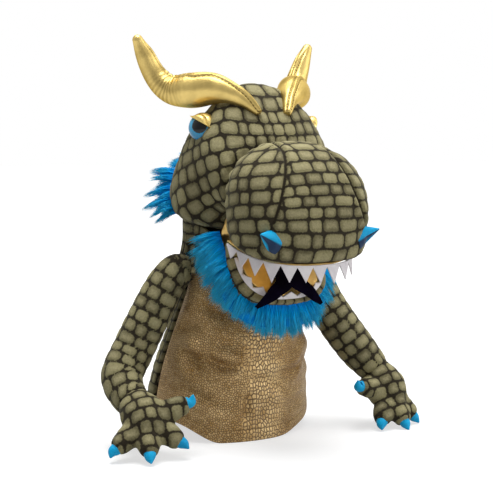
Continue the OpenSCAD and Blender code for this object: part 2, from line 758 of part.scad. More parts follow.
function finger_end(palm, t) = t + 3.5 * unit(t - palm);
module hand(path, palm, tips) {
    d = wrist_dir(path);
    start = path[8] + layer_gap * d;
    w = hand_w / 2;
    union() {
        loft([disc(start, d, arm_sizes[8] * 0.96, arm_sizes[8] * 0.96, 14),
            disc(mix(start, palm, 0.55), palm - start, w * 0.95, w * 0.72, 14),
            disc(palm, tips[1] - path[8], w, w * 0.62, 14),
            disc(mix(palm, tips[1], 0.45), tips[1] - palm, w * 0.72, w * 0.46, 14)]);
        for (t = tips)
            loft(sweep([mix(palm, t, 0.15), mix(palm, t, 0.62), t, finger_end(palm, t)],
                [8.5, 9.5, 7.6, 4.6] * hand_w / 46, 1, 10));
    }
}

module claws(palm, tips) {
    for (t = tips) {
        d = unit(t - palm);
        p = finger_end(palm, t) + layer_gap * d;
        q = unit(d + [0, -0.25, -0.2]);
        loft([disc(p, d, 4.6, 4, 10), disc(p + d * claw_len * 0.5, d, 3.4, 2.8, 10),
            disc(p + q * claw_len, q, 0.6, 0.6, 10)]);
    }
}

module hand_right() {
    color(plush)
        hand(arm_right_path, palm_right, tips_right);
}

module hand_left() {
    color(plush)
        hand(arm_left_path, palm_left, tips_left);
}

module claws_right() {
    color(satin_blue)
        claws(palm_right, tips_right);
}

module claws_left() {
    color(satin_blue)
        claws(palm_left, tips_left);
}

belly_panel();
back_panel();
sleeve_lining();
hem_facing();
neck_tube();
head_cover();
snout_cover();
crown_stuffing();
snout_stuffing();
finger_pocket();
palate_board();
palate_lining();
upper_teeth();
mouth_fold();
horn_right();
horn_left();
eye_right();
eye_left();
pupil_right();
pupil_left();
eye_washers();
eyelid_right();
eyelid_left();
nostril_right();
nostril_left();
mane_fur();
jaw_cover();
jaw_board();
mouth_floor();
lower_teeth();
tongue();
thumb_pocket();
beard_fur();
arm_right();
hand_right();
claws_right();
arm_left();
hand_left();
claws_left();
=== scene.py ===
"""Dragon hand puppet with a moving mouth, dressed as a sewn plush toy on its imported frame.

Shapes are worked out in millimetres, in the frame's own axes (+Z up, the face looks along -Y),
and are turned to metres when a mesh is made.
"""

import logging
import math
from dataclasses import dataclass, field
from enum import Enum
from typing import Callable

import bpy
import numpy as np
from mathutils import Matrix


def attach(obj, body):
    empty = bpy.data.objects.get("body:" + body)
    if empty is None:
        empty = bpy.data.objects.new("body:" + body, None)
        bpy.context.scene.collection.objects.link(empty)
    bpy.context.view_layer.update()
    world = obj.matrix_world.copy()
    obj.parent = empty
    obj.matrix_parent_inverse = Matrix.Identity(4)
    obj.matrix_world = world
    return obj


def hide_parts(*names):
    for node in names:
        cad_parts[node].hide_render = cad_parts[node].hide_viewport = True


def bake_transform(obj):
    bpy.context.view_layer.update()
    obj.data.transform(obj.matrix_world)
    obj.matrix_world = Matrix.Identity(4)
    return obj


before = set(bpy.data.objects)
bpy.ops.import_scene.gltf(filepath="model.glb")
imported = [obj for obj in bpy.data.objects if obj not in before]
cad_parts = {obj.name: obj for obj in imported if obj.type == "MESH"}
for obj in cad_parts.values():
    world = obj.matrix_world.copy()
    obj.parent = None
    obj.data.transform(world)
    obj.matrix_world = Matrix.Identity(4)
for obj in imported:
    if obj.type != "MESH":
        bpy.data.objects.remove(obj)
log = logging.getLogger("puppet")

Array = np.ndarray
Values = dict[str, Array]
Hair = tuple[Array, Array, Array]
MM = 0.001
TURN = 2 * math.pi
UP = np.array([0, 0, 1.0])
FRONT = 270.0  # angle of the puppet's front from +X, in degrees
HINGE = np.array([0.0, -73.0, 170.0])  # middle of the mouth's fold
FELT = 1.4  # thickness of the felt


class Side(Enum):
    """A side of the puppet, as the sign of its X."""

    RIGHT = -1
    LEFT = 1

    @property
    def word(self) -> str:
        """Name of the side, as the nodes use it."""
        return self.name.lower()

    @property
    def mirror(self) -> Array:
        """Factors that bring a point of the left side to this one."""
        return np.array([self.value, 1, 1])


class Held(Enum):
    """How a sheet of cloth is kept in shape."""

    STRETCHED = "stretched"
    HUNG = "hung"
    FOLDED = "folded"
    GATHERED = "gathered"


# Numbers


def ease(t: Array) -> Array:
    """Smooth step from 0 to 1, flat at both ends: 3t^2 - 2t^3 on the clipped t."""
    c = np.clip(t, 0.0, 1.0)
    return c * c * (3.0 - 2.0 * c)


def mix(a: Array, b: Array, t: Array) -> Array:
    """Straight blend from a to b."""
    return a + (b - a) * t


def unit(v: Array) -> Array:
    """Vectors along the last axis, scaled to length 1."""
    return v / np.maximum(np.linalg.norm(v, axis=-1, keepdims=True), 1e-9)


def spow(v: Array, p: float | Array) -> Array:
    """Power that keeps the sign."""
    return np.sign(v) * np.abs(v) ** p


def bell(d: Array, width: float) -> Array:
    """Bell curve of a distance: exp(-(d / width)^2)."""
    return np.exp(-((d / width) ** 2))


def turns(count: int) -> Array:
    """Even angles once round, in radians."""
    return np.linspace(0, TURN, count, endpoint=False)


def turned_from(angle: Array, at: Array) -> Array:
    """Angle from another one, between -pi and pi."""
    return (angle - at + math.pi) % TURN - math.pi


def net(a: Array, b: Array) -> tuple[Array, Array]:
    """Both coordinates of a grid with a down its rows and b along them."""
    return np.meshgrid(a, b, indexing="ij")


def chance(*keys: Array, seed: int = 0) -> Array:
    """Even random number from 0 to 1 for whole-number keys, the same each run.

    Args:
        keys: arrays of whole numbers of one shape.
        seed: which random field.

    Returns:
        A float array of that shape.
    """
    low = np.uint64(0xFFFFFFFF)
    h = np.full(np.shape(keys[0]), 2166136261 + 7919 * seed, dtype=np.uint64)
    for key in keys:
        h = h ^ (np.asarray(key).astype(np.int64).astype(np.uint64) & low)
        h = (h * np.uint64(16777619)) & low
        h = h ^ (h >> np.uint64(15))
        h = (h * np.uint64(2246822519)) & low
    h = h ^ (h >> np.uint64(13))
    return (h & np.uint64(0xFFFFFF)).astype(float) / float(0xFFFFFF)


def noise(p: Array, size: float, seed: int = 0) -> Array:
    """Value noise from -1 to 1: random numbers on a cubic lattice, blended with ease().

    Args:
        p: points, (..., 3), in mm.
        size: lattice spacing in mm.
        seed: which random field.

    Returns:
        One value for each point.
    """
    q = p / size
    i = np.floor(q).astype(np.int64)
    f = ease(q - i)
    total = np.zeros(p.shape[:-1])
    for dx, dy, dz in np.ndindex(2, 2, 2):
        w = np.abs(1 - dx - f[..., 0]) * np.abs(1 - dy - f[..., 1]) * np.abs(1 - dz - f[..., 2])
        total += w * chance(i[..., 0] + dx, i[..., 1] + dy, i[..., 2] + dz, seed=seed)
    return 2.0 * total - 1.0


def spline(stations: Array, t: Array) -> Array:
    """Smooth curve through stations: Catmull-Rom with mirrored end stations.

    Args:
        stations: (m, ...) values at t = 0, 1, ... m - 1.
        t: (n,) places along the stations.

    Returns:
        (n, ...) values.
    """
    m = len(stations)
    first, last = 2 * stations[0] - stations[1], 2 * stations[-1] - stations[-2]
    ends = np.concatenate([[first], stations, [last]])
    i = np.clip(np.floor(t).astype(int), 0, m - 2)
    f = (t - i).reshape((-1,) + (1,) * (stations.ndim - 1))
    a, b, c, d = ends[i], ends[i + 1], ends[i + 2], ends[i + 3]
    return 0.5 * (2 * b + (c - a) * f + (2 * a - 5 * b + 4 * c - d) * f**2 + (3 * b - a - 3 * c + d) * f**3)


def lengths(line: Array) -> Array:
    """Length so far at each point of a line."""
    return np.concatenate([[0], np.cumsum(np.linalg.norm(np.diff(line, axis=0), axis=-1))])


def even_steps(rings: Array, rows: int) -> tuple[Array, Array]:
    """Places for even steps of mean length along the spline through a list of rings.

    Args:
        rings: (m, n, 3) stations.
        rows: how many places.

    Returns:
        The places along the stations, and the lengths there in mm.
    """
    fine = np.linspace(0, len(rings) - 1, 40 * len(rings))
    step = np.linalg.norm(np.diff(spline(rings, fine), axis=0), axis=2).mean(axis=1)
    run = np.concatenate([[0], np.cumsum(step)])
    at = np.linspace(0, run[-1], rows)
    return np.interp(at, run, fine), at


def even_rows(rings: Array, rows: int) -> Array:
    """Rings at even steps through a list of rings."""
    return spline(rings, even_steps(rings, rows)[0])


def section(low: Array, high: Array, half: float, up: float, down: float, taper: float, count: int) -> Array:
    """Closed section across a stuffed form: a superellipse from its lowest to its highest point.

    Args:
        low, high: the lowest and highest point, in the middle plane.
        half: half the width.
        up, down: squareness of the upper and the lower half.
        taper: narrowing towards the top.
        count: points to return, from the bottom round.

    Returns:
        (count, 3) points at even steps of the section's length.
    """
    a = np.radians(np.linspace(-90, 270, 1441)[:-1])
    power = 2 / np.where(np.sin(a) >= 0, up, down)
    ring = (low + high) / 2 + (high - low) / 2 * spow(np.sin(a), power)[:, None]
    ring[:, 0] += half * spow(np.cos(a), power) * (1 - taper * np.sin(a))
    closed = np.vstack([ring, ring[:1]])
    run = lengths(closed)
    at = np.linspace(0, run[-1], count, endpoint=False)
    return np.stack([np.interp(at, run, closed[:, k]) for k in range(3)], axis=1)


def sweep(path: Array, radii: Array, rows: int, count: int, ref: Array) -> tuple[Array, Array, Array]:
    """Round tube along a smooth path.

    Args:
        path: (m, 3) stations.
        radii: (m,) half sizes.
        rows, count: steps along and round.
        ref: direction that fixes where a ring starts.

    Returns:
        Points (rows, count, 3), length along (rows, count) in mm, and angle round (rows, count).
    """
    t, run = even_steps(path[:, None], rows)
    line, r = spline(path, t), spline(radii[:, None], t)
    ahead = unit(np.gradient(line, axis=0))
    s = unit(np.cross(np.broadcast_to(ref, ahead.shape), ahead))
    u = np.cross(ahead, s)
    a = turns(count)
    around = s[:, None] * np.cos(a)[:, None] + u[:, None] * np.sin(a)[:, None]
    points = line[:, None] + r[:, None] * around
    along = np.broadcast_to(run[:, None], points.shape[:2])
    return points, along, np.broadcast_to(a, points.shape[:2])


def outward(p: Array, centre: Array) -> Array:
    """Normals of a grid that goes round, turned away from its centre: the cross product of its steps.

    Args:
        p: (m, n, 3) points.
        centre: a point inside.

    Returns:
        Unit normals.
    """
    around = np.roll(p, -1, axis=1) - np.roll(p, 1, axis=1)
    out = unit(np.cross(around, np.gradient(p, axis=0)))
    return out * np.sign(((p - centre) * out).sum(-1).mean())


def both_sides(half: Array) -> Array:
    """Path from one side to the other, mirrored at the last of its stations."""
    return np.vstack([half, half[-2::-1] * Side.RIGHT.mirror])


# Meshes


@dataclass
class Skin:
    """A mesh in the making: points, faces and values on the points."""

    points: Array
    quads: Array
    tris: Array
    values: Values = field(default_factory=dict)

    @staticmethod
    def grid(p: Array, wrap: bool, flip: bool = False, values: Values | None = None) -> "Skin":
        """Skin over one grid of points.

        Args:
            p: (m, n, 3) points.
            wrap: whether the last column joins the first.
            flip: turns the faces over.
            values: values by name, spread over the grid.

        Returns:
            The skin, open at its edges.
        """
        m, n = p.shape[:2]
        index = np.arange(m * n).reshape(m, n)
        right = np.roll(index, -1, axis=1) if wrap else index[:, 1:]
        left = index if wrap else index[:, :-1]
        quads = np.stack([left[:-1], right[:-1], right[1:], left[1:]], axis=-1).reshape(-1, 4)
        quads = quads[:, ::-1] if flip else quads
        spread = {k: np.broadcast_to(v, (m, n)).reshape(-1) for k, v in (values or {}).items()}
        return Skin(p.reshape(-1, 3), quads, np.zeros((0, 3), int), spread)

    def cap(self, ring: Array, tip: Array, flip: bool = False) -> "Skin":
        """The skin with a fan of triangles from a ring of its points to a new point.

        Args:
            ring: numbers of the points.
            tip: the new point.
            flip: turns the faces over.

        Returns:
            This skin.
        """
        at = len(self.points)
        fan = np.stack([ring, np.roll(ring, -1), np.full(len(ring), at)], axis=1)
        self.points = np.vstack([self.points, tip])
        self.tris = np.vstack([self.tris, fan[:, ::-1] if flip else fan])
        for k, v in self.values.items():
            self.values[k] = np.append(v, v[ring].mean())
        return self

    @staticmethod
    def bag(p: Array, flip: bool = True, values: Values | None = None, tip: Array | None = None) -> "Skin":
        """Skin over a grid that goes round, with a fan over its last ring; the first one stays open.

        Args:
            p, flip, values: as in grid().
            tip: middle of the fan.

        Returns:
            The skin.
        """
        m, n = p.shape[:2]
        tip = p[-1].mean(0) if tip is None else tip
        return Skin.grid(p, True, flip, values).cap(np.arange(n) + n * (m - 1), tip, flip)

    @staticmethod
    def tube(p: Array, flip: bool = True, values: Values | None = None,
             ends: tuple[Array | None, Array | None] = (None, None)) -> "Skin":
        """Closed skin over a grid that goes round.

        Args:
            p, flip, values: as in grid().
            ends: middles of the two end fans, where they aren't the middles of the end rings.

        Returns:
            The skin, with a fan over each end.
        """
        skin = Skin.grid(p, True, flip, values)
        m, n = p.shape[:2]
        for row, end, turned in ((0, ends[0], not flip), (m - 1, ends[1], flip)):
            skin.cap(np.arange(n) + n * row, p[row].mean(0) if end is None else end, turned)
        return skin

    @staticmethod
    def join(*skins: "Skin") -> "Skin":
        """One skin from several, with the values that all of them have.

        Args:
            skins: the skins.

        Returns:
            The one skin.
        """
        starts = np.cumsum([0] + [len(s.points) for s in skins[:-1]])
        names = set(skins[0].values).intersection(*[s.values for s in skins])
        return Skin(np.vstack([s.points for s in skins]),
                    np.vstack([s.quads + o for s, o in zip(skins, starts)]),
                    np.vstack([s.tris + o for s, o in zip(skins, starts)]),
                    {k: np.concatenate([s.values[k] for s in skins]) for k in names})

    @staticmethod
    def shell(front: Array, back: Array, wrap: bool, values: Values | None = None) -> "Skin":
        """Closed cloth between two grids of one shape, rims included.

        Args:
            front: outer grid, (m, n, 3).
            back: inner grid.
            wrap: whether the columns close up.
            values: values on the grid, used on both faces.

        Returns:
            The closed skin.
        """
        m, n = front.shape[:2]
        both = Skin.join(Skin.grid(front, wrap, False, values), Skin.grid(back, wrap, True, values))
        index, o = np.arange(m * n).reshape(m, n), m * n
        rims = [(index[0], True), (index[-1], False)]
        if not wrap:
            rims += [(index[:, 0], False), (index[:, -1], True)]
        quads = [both.quads]
        for row, turned in rims:
            a, b = (row, np.roll(row, -1)) if wrap else (row[:-1], row[1:])
            rim = np.stack([a, b, b + o, a + o], axis=1)
            quads.append(rim[:, ::-1] if turned else rim)
        both.quads = np.vstack(quads)
        return both

    def mesh(self, name: str) -> bpy.types.Mesh:
        """The skin as a smooth Blender mesh, in metres.

        Args:
            name: name of the mesh.

        Returns:
            The mesh.
        """
        me = bpy.data.meshes.new(name)
        corners = np.concatenate([self.quads.reshape(-1), self.tris.reshape(-1)])
        sizes = np.concatenate([np.full(len(self.quads), 4), np.full(len(self.tris), 3)])
        starts = np.concatenate([[0], np.cumsum(sizes)[:-1]])
        me.vertices.add(len(self.points))
        me.vertices.foreach_set("co", (self.points * MM).astype(np.float32).reshape(-1))
        me.loops.add(len(corners))
        me.loops.foreach_set("vertex_index", corners.astype(np.int32))
        me.polygons.add(len(sizes))
        me.polygons.foreach_set("loop_start", starts.astype(np.int32))
        me.polygons.foreach_set("use_smooth", np.ones(len(sizes), bool))
        for key, value in self.values.items():
            slot = me.attributes.new(key, "FLOAT", "POINT")
            slot.data.foreach_set("value", np.asarray(value, np.float32))
        me.update(calc_edges=True)
        me.validate()
        return me


def put(name: str, data: bpy.types.ID) -> bpy.types.Object:
    """A new object in the scene.

    Args:
        name, data: its name, and its mesh, lamp or camera.

    Returns:
        The object.
    """
    obj = bpy.data.objects.new(name, data)
    bpy.context.collection.objects.link(obj)
    return obj


def aim(obj: bpy.types.Object, axes: tuple[Array, Array, Array], spot: Array) -> None:
    """Places an object by its three axes and its origin, in metres.

    Args:
        obj: the object.
        axes, spot: its axes and origin.
    """
    matrix = np.eye(4)
    matrix[:3, :3] = np.stack(axes, axis=1)
    matrix[:3, 3] = spot
    obj.matrix_world = Matrix(matrix.tolist())


def read(items: bpy.types.bpy_prop_collection, key: str, kind: type, width: int = 1) -> Array:
    """One property of all of a mesh's vertices, loops or polygons.

    Args:
        items: the vertices, loops or polygons.
        key: name of the property.
        kind, width: type of its numbers, and how many an item has.

    Returns:
        The numbers in a row.
    """
    out = np.empty(len(items) * width, kind)
    items.foreach_get(key, out)
    return out


def read_mesh(obj: bpy.types.Object) -> Skin:
    """Skin of an object with its modifiers.

    Args:
        obj: the object.

    Returns:
        The skin, in mm.
    """
    held = obj.evaluated_get(bpy.context.evaluated_depsgraph_get())
    me = held.to_mesh()
    points = read(me.vertices, "co", np.float32, 3).reshape(-1, 3).astype(float) / MM
    corners = read(me.loops, "vertex_index", np.int32)
    start, total = (read(me.polygons, key, np.int32) for key in ("loop_start", "loop_total"))
    quads, tris = (corners[start[total == k][:, None] + np.arange(k)] for k in (4, 3))
    held.to_mesh_clear()
    return Skin(points, quads, tris)


def blown(obj: bpy.types.Object, rest: Array, pressure: float, cap: float) -> Array:
    """Points of a closed object after it is blown up as cloth, without weight.

    Args:
        obj: the object.
        rest: its points.
        pressure: cloth pressure.
        cap: furthest that a point may move, in mm.

    Returns:
        The moved points.
    """
    frames = 20
    cloth = obj.modifiers.new("Cloth", "CLOTH")
    cloth.settings.use_pressure = True
    cloth.settings.uniform_pressure_force = pressure
    cloth.settings.quality = 5
    cloth.settings.mass = 0.15
    cloth.settings.tension_stiffness = cloth.settings.compression_stiffness = 25
    cloth.settings.bending_stiffness = 1.5
    cloth.settings.effector_weights.gravity = 0
    cloth.collision_settings.use_collision = False
    cloth.point_cache.frame_end = frames
    for step in range(1, frames + 1):
        bpy.context.scene.frame_set(step)
    move = read_mesh(obj).points - rest
    bpy.context.scene.frame_set(1)
    obj.modifiers.remove(cloth)
    far = np.linalg.norm(move, axis=1, keepdims=True)
    return rest + move * np.minimum(1.0, cap / np.maximum(far, 1e-9))


def stuffed(skin: Skin, voxel: float, pressure: float, cap: float, smooth: int) -> Skin:
    """A closed skin filled like a stuffed toy: remeshed, blown up as cloth, then subdivided.

    Args:
        skin: closed shape, slightly smaller than the filled one.
        voxel: remesh size in mm.
        pressure: cloth pressure.
        cap: furthest that a point may move, in mm.
        smooth: smoothing steps before the filling.

    Returns:
        The filled skin, with one subdivision.
    """
    obj = put("filling", skin.mesh("filling"))
    remesh = obj.modifiers.new("Remesh", "REMESH")
    remesh.mode, remesh.voxel_size = "VOXEL", voxel * MM
    soft = obj.modifiers.new("Smooth", "SMOOTH")
    soft.factor, soft.iterations = 0.5, smooth
    base = read_mesh(obj)
    bpy.data.objects.remove(obj)
    obj = put("filling", base.mesh("filling"))
    full = blown(obj, base.points, pressure, cap)
    obj.data.vertices.foreach_set("co", (full * MM).astype(np.float32).reshape(-1))
    obj.data.update()
    sub = obj.modifiers.new("Subdivision", "SUBSURF")
    sub.levels = sub.render_levels = 1
    fine = read_mesh(obj)
    bpy.data.objects.remove(obj)
    return fine


def point_normals(skin: Skin) -> Array:
    """Normals at a skin's points, from the mesh itself.

    Args:
        skin: the skin.

    Returns:
        (n, 3) unit normals.
    """
    me = skin.mesh("normals")
    out = read(me.vertices, "normal", np.float32, 3).reshape(-1, 3).astype(float)
    bpy.data.meshes.remove(me)
    return out


def hemmed(p: Array, out: Array, values: Values, row: int, lead: tuple[float, float],
           tail: tuple[float, float] | None = None) -> tuple[Array, Values]:
    """A cover with its open edges turned in.

    Args:
        p, out: the cover's grid and its normals.
        values: values on it.
        row: how many rows are turned in.
        lead: depth of the turned row and of the edge, at the first end, in mm.
        tail: depth of the edge and of the turned row at the last end, if that is open too.

    Returns:
        The longer grid and its values.
    """
    last = len(p) - 1
    at = [row, 0, *range(len(p))]
    deep = [*lead, *np.zeros(len(p))]
    if tail:
        at += [last, last - row]
        deep += tail
    return p[at] - out[at] * np.array(deep)[:, None, None], {k: v[at] for k, v in values.items()}


def swollen(p: Array, out: Array, values: Values, high: float, soft: float) -> Array:
    """Points with each printed cell raised by high, over the distance soft from its edge."""
    return p + out * (high * ease(values["scale"] / soft))[..., None]


# Finishes


def colour(text: str) -> tuple[float, float, float, float]:
    """Linear colour of an sRGB hex value."""
    c = [int(text[i:i + 2], 16) / 255 for i in (1, 3, 5)]
    return tuple(x / 12.92 if x <= 0.04045 else ((x + 0.055) / 1.055) ** 2.4 for x in c) + (1.0,)


def per_metre(mm: float) -> float:
    """Texture scale, on coordinates in metres, for a pattern of that size."""
    return 1 / (mm * MM)


Socket = bpy.types.NodeSocket
Input = Socket | float | str | tuple[float, ...]
Inputs = dict[int | str, Input]
SMOOTH = {"interpolation_type": "SMOOTHSTEP"}  # a range with soft ends
TINT = {"out": 2, "data_type": "RGBA"}  # a mix of two colours
PLUS = {"operation": "MULTIPLY_ADD"}  # the first times the second, plus the third


@dataclass(frozen=True)
class Nodes:
    """The nodes of a material or a world."""

    tree: bpy.types.NodeTree

    def feed(self, node: bpy.types.Node, inputs: Inputs) -> None:
        """Links a socket, or sets a value or a hex colour, for each input by its name or number.

        Args:
            node: the node.
            inputs: what goes in.
        """
        for key, value in inputs.items():
            if isinstance(value, Socket):
                self.tree.links.new(value, node.inputs[key])
            else:
                node.inputs[key].default_value = colour(value) if isinstance(value, str) else value

    def add(self, kind: str, inputs: Inputs | None = None, out: int | str = 0,
            **settings: object) -> Socket | None:
        """Adds a shader node.

        Args:
            kind: node type.
            inputs: as in feed().
            out: name or number of the output to return.
            settings: properties of the node.

        Returns:
            That output, or none where the node has none.
        """
        made = self.tree.nodes.new("ShaderNode" + kind)
        for key, value in settings.items():
            setattr(made, key, value)
        self.feed(made, inputs or {})
        return made.outputs[out] if made.outputs else None

    def seen(self) -> Socket:
        """1 for rays from the camera, and for those that it sees mirrored or through something clear.

        Returns:
            The output.
        """
        camera, glossy, clear = (self.add("LightPath", out=f"Is {kind} Ray")
                                 for kind in ("Camera", "Glossy", "Transmission"))
        either = self.add("Math", {0: camera, 1: glossy}, operation="MAXIMUM")
        return self.add("Math", {0: either, 1: clear}, operation="MAXIMUM")

    def shade(self, inputs: Inputs) -> None:
        """Feeds the material's shader."""
        self.feed(self.tree.nodes["Principled BSDF"], inputs)


MADE: dict[str, bpy.types.Material] = {}


@dataclass(frozen=True)
class Finish:
    """A material, made once.

    Attributes:
        name: name of the material.
        slot: name of the record's material slot; not used.
        ending: last word of its pieces' names.
    """

    name: str
    slot: str
    ending: str

    def material(self) -> bpy.types.Material:
        """The Blender material, made on first use.

        Returns:
            The material.
        """
        if self.name not in MADE:
            made = MADE[self.name] = bpy.data.materials.new(self.name)
            made.use_nodes = True
            self.dress(Nodes(made.node_tree))
        return MADE[self.name]

    def dress(self, nodes: Nodes) -> None:
        """Builds the finish from nodes; each kind has its own."""
        raise NotImplementedError


@dataclass(frozen=True)
class PrintedPlush(Finish):
    """Short-pile polyester plush, printed with scales: soft cells between dark, slightly sunk lines.

    The eye sees matt cells with a pale nap, dark soft-edged lines, and a fine pile grain. Each cell is paler
    towards its middle: a painted highlight of the cell's swell.
    The print is in the attributes: scale, the distance in mm to a cell's edge, and tone.
    """

    line: str = "#292317"
    deep: str = "#5f5940"
    light: str = "#8d8661"
    # pale: colour of the painted highlight in each cell's middle
    pale: str = "#aaa27d"
    sheen: str = "#d9d6b4"
    pile_mm: float = 1.5  # the pile is finer; drawn this coarse so that it shows
    nap_mm: float = 7.0

    def dress(self, nodes: Nodes) -> None:
        """Print from the attributes, grain and nap from noise, sheen for the pile.

        Args:
            nodes: the material's nodes.
        """
        add = nodes.add
        place = add("TexCoord", out="Object")
        scale, tone = (add("Attribute", out="Fac", attribute_name=key) for key in ("scale", "tone"))
        pile = add("TexNoise", {"Vector": place, "Scale": per_metre(self.pile_mm), "Detail": 3.0,
                                "Roughness": 0.7}, "Fac")
        nap = add("TexNoise", {"Vector": place, "Scale": per_metre(self.nap_mm), "Detail": 2.0}, "Fac")
        ragged = add("Math", {0: pile, 1: 1.5, 2: scale}, **PLUS)
        cell = add("MapRange", {0: ragged, 1: 1.05, 2: 2.2}, **SMOOTH)
        # painted highlight: each cell turns paler towards its middle, the shading of its swell
        heart = add("MapRange", {0: ragged, 1: 2.2, 2: 5.4}, **SMOOTH)
        heart = add("Math", {0: heart, 1: 0.55}, operation="MULTIPLY")
        tone = add("Math", {0: nap, 1: 0.6, 2: tone}, **PLUS)
        tone = add("MapRange", {0: tone, 1: 0.25, 2: 1.15})
        tint = add("Mix", {0: tone, 6: self.deep, 7: self.light}, **TINT)
        tint = add("Mix", {0: heart, 6: tint, 7: self.pale}, **TINT)
        base = add("Mix", {0: cell, 6: self.line, 7: tint}, **TINT)
        shade = add("MapRange", {0: pile, 1: 0.3, 2: 0.7, 3: 0.78, 4: 1.16})
        base = add("VectorMath", {0: base, "Scale": shade}, operation="SCALE")
        high = add("Math", {0: pile, 1: 0.8, 2: cell}, **PLUS)
        relief = add("Bump", {"Strength": 0.55, "Distance": 0.8 * MM, "Height": high})
        nodes.shade({"Base Color": base, "Normal": relief, "Roughness": 0.92, "Specular IOR Level": 0.2,
                     "Sheen Weight": 0.15, "Sheen Roughness": 0.4, "Sheen Tint": self.sheen})


@dataclass(frozen=True)
class GoldLame(Finish):
    """Metallic lame cloth: woven film thread, so a bright soft gold with stretched reflections; the darker
    patches of those reflections are painted into its colour.
    """

    # deep is the darker gold of the painted shade and painted reflections; bright is the gold itself
    deep: str = "#66501f"
    bright: str = "#dcc177"
    rough: float = 0.33
    thread: str = "#33220a"
    gleam: str = "#e6cf8e"

    def dress(self, nodes: Nodes) -> None:
        """Gold darkened in patches by painted reflections, weave and creases as bump; the mesh says where
        stitches darken it and where streaks of painted shade and reflection do.

        Args:
            nodes: the material's nodes.
        """
        add = nodes.add
        place = add("TexCoord", out="Object")
        stitch, streak = (add("Attribute", out="Fac", attribute_name=key) for key in ("stitch", "streak"))
        weave = add("TexNoise", {"Vector": place, "Scale": per_metre(0.9), "Detail": 2.0}, "Fac")
        crease = add("TexNoise", {"Vector": place, "Scale": per_metre(11.0), "Detail": 4.0, "Roughness": 0.6,
                                  "Distortion": 0.6}, "Fac")
        # painted reflection: noise patches where the gold turns to its deep colour
        painted_mottle = add("TexNoise", {"Vector": place, "Scale": per_metre(16.0), "Detail": 3.0}, "Fac")
        painted_mottle = add("MapRange", {0: painted_mottle, 1: 0.3, 2: 0.6, 3: 0.35, 4: 0.0})
        fade = add("Math", {0: painted_mottle, 1: streak}, operation="ADD", use_clamp=True)
        base = add("Mix", {0: fade, 6: self.bright, 7: self.deep}, **TINT)
        base = add("Mix", {0: stitch, 6: base, 7: self.thread}, **TINT)
        rough = add("MapRange", {0: weave, 1: 0.3, 2: 0.7, 3: self.rough - 0.05, 4: self.rough + 0.1})
        high = add("Math", {0: weave, 1: 0.02, 2: crease}, **PLUS)
        relief = add("Bump", {"Strength": 0.22, "Distance": 1.6 * MM, "Height": high})
        nodes.shade({"Base Color": base, "Normal": relief, "Roughness": rough, "Metallic": 0.78,
                     "Specular Tint": self.gleam})


@dataclass(frozen=True)
class CrackleFoil(Finish):
    """Foil cloth pressed with a reptile grain: long cells down the middle, fine beads beside them.

    The grooves are dark, and each cell's foil has a random tone between bronze and a paler gleam; the middle
    band is pushed towards the gleam as a painted highlight.
    """

    groove: str = "#50371a"
    foil: str = "#97723a"
    gleam: str = "#dcbd87"
    cell_mm: tuple[float, float] = (2.7, 3.5)
    bead_mm: float = 2.0
    band_mm: float = 25.0
    fringe_mm: float = 24.0

    def dress(self, nodes: Nodes) -> None:
        """Cells from two Voronoi patterns in the panel's own mm, across and up, mixed by the middle band.

        Args:
            nodes: the material's nodes.
        """
        add = nodes.add
        place = add("TexCoord", out="Object")
        across, rise = (add("Attribute", out="Fac", attribute_name=key) for key in ("across", "rise"))
        fringe = add("TexNoise", {"Vector": place, "Scale": per_metre(15.0), "Detail": 3.0}, "Fac")
        reach = add("Math", {0: across}, operation="ABSOLUTE")
        reach = add("Math", {0: fringe, 1: 40.0, 2: reach}, **PLUS)
        band = add("MapRange", {0: reach, 1: self.band_mm + self.fringe_mm, 2: self.band_mm}, **SMOOTH)
        edges, lots = [], []
        for wide, tall, loose in ((self.bead_mm, self.bead_mm, 0.9), (*self.cell_mm, 0.75)):
            x = add("Math", {0: across, 1: wide}, operation="DIVIDE")
            y = add("Math", {0: rise, 1: tall}, operation="DIVIDE")
            cells = {"Vector": add("CombineXYZ", {0: x, 1: y}), "Scale": 1.0, "Randomness": loose}
            flat = {"voronoi_dimensions": "2D"}
            edges.append(add("TexVoronoi", cells, "Distance", feature="DISTANCE_TO_EDGE", **flat))
            tint = add("TexVoronoi", cells, "Color", feature="F1", **flat)
            lots.append(add("SeparateColor", {0: tint}))
        edge, lot = (add("Mix", {0: band, 2: a, 3: b}, data_type="FLOAT") for a, b in (edges, lots))
        dome = add("MapRange", {0: edge, 1: 0.0, 2: 0.3}, **SMOOTH)
        tone = add("TexNoise", {"Vector": place, "Scale": per_metre(34.0), "Detail": 4.0,
                                "Roughness": 0.6}, "Fac")
        tone = add("MapRange", {0: tone, 1: 0.35, 2: 0.65, 3: -0.1, 4: 0.45})
        tone = add("Math", {0: lot, 1: 0.45, 2: tone}, **PLUS)
        # painted highlight: the middle band is made paler, towards the gleam colour
        tone = add("Math", {0: band, 1: 0.25, 2: tone}, **PLUS)
        cover = add("MapRange", {0: dome, 1: 0.05, 2: 0.7, 3: 0.15, 4: 1.0})
        tint = add("Mix", {0: tone, 6: self.foil, 7: self.gleam}, **TINT)
        base = add("Mix", {0: cover, 6: self.groove, 7: tint}, **TINT)
        shine = add("Math", {0: cover, 1: 0.7}, operation="MULTIPLY")
        rough = add("MapRange", {0: band, 3: 0.5, 4: 0.36})
        relief = add("Bump", {"Strength": 0.7, "Distance": 0.6 * MM, "Height": dome})
        nodes.shade({"Base Color": base, "Metallic": shine, "Roughness": rough, "Normal": relief})


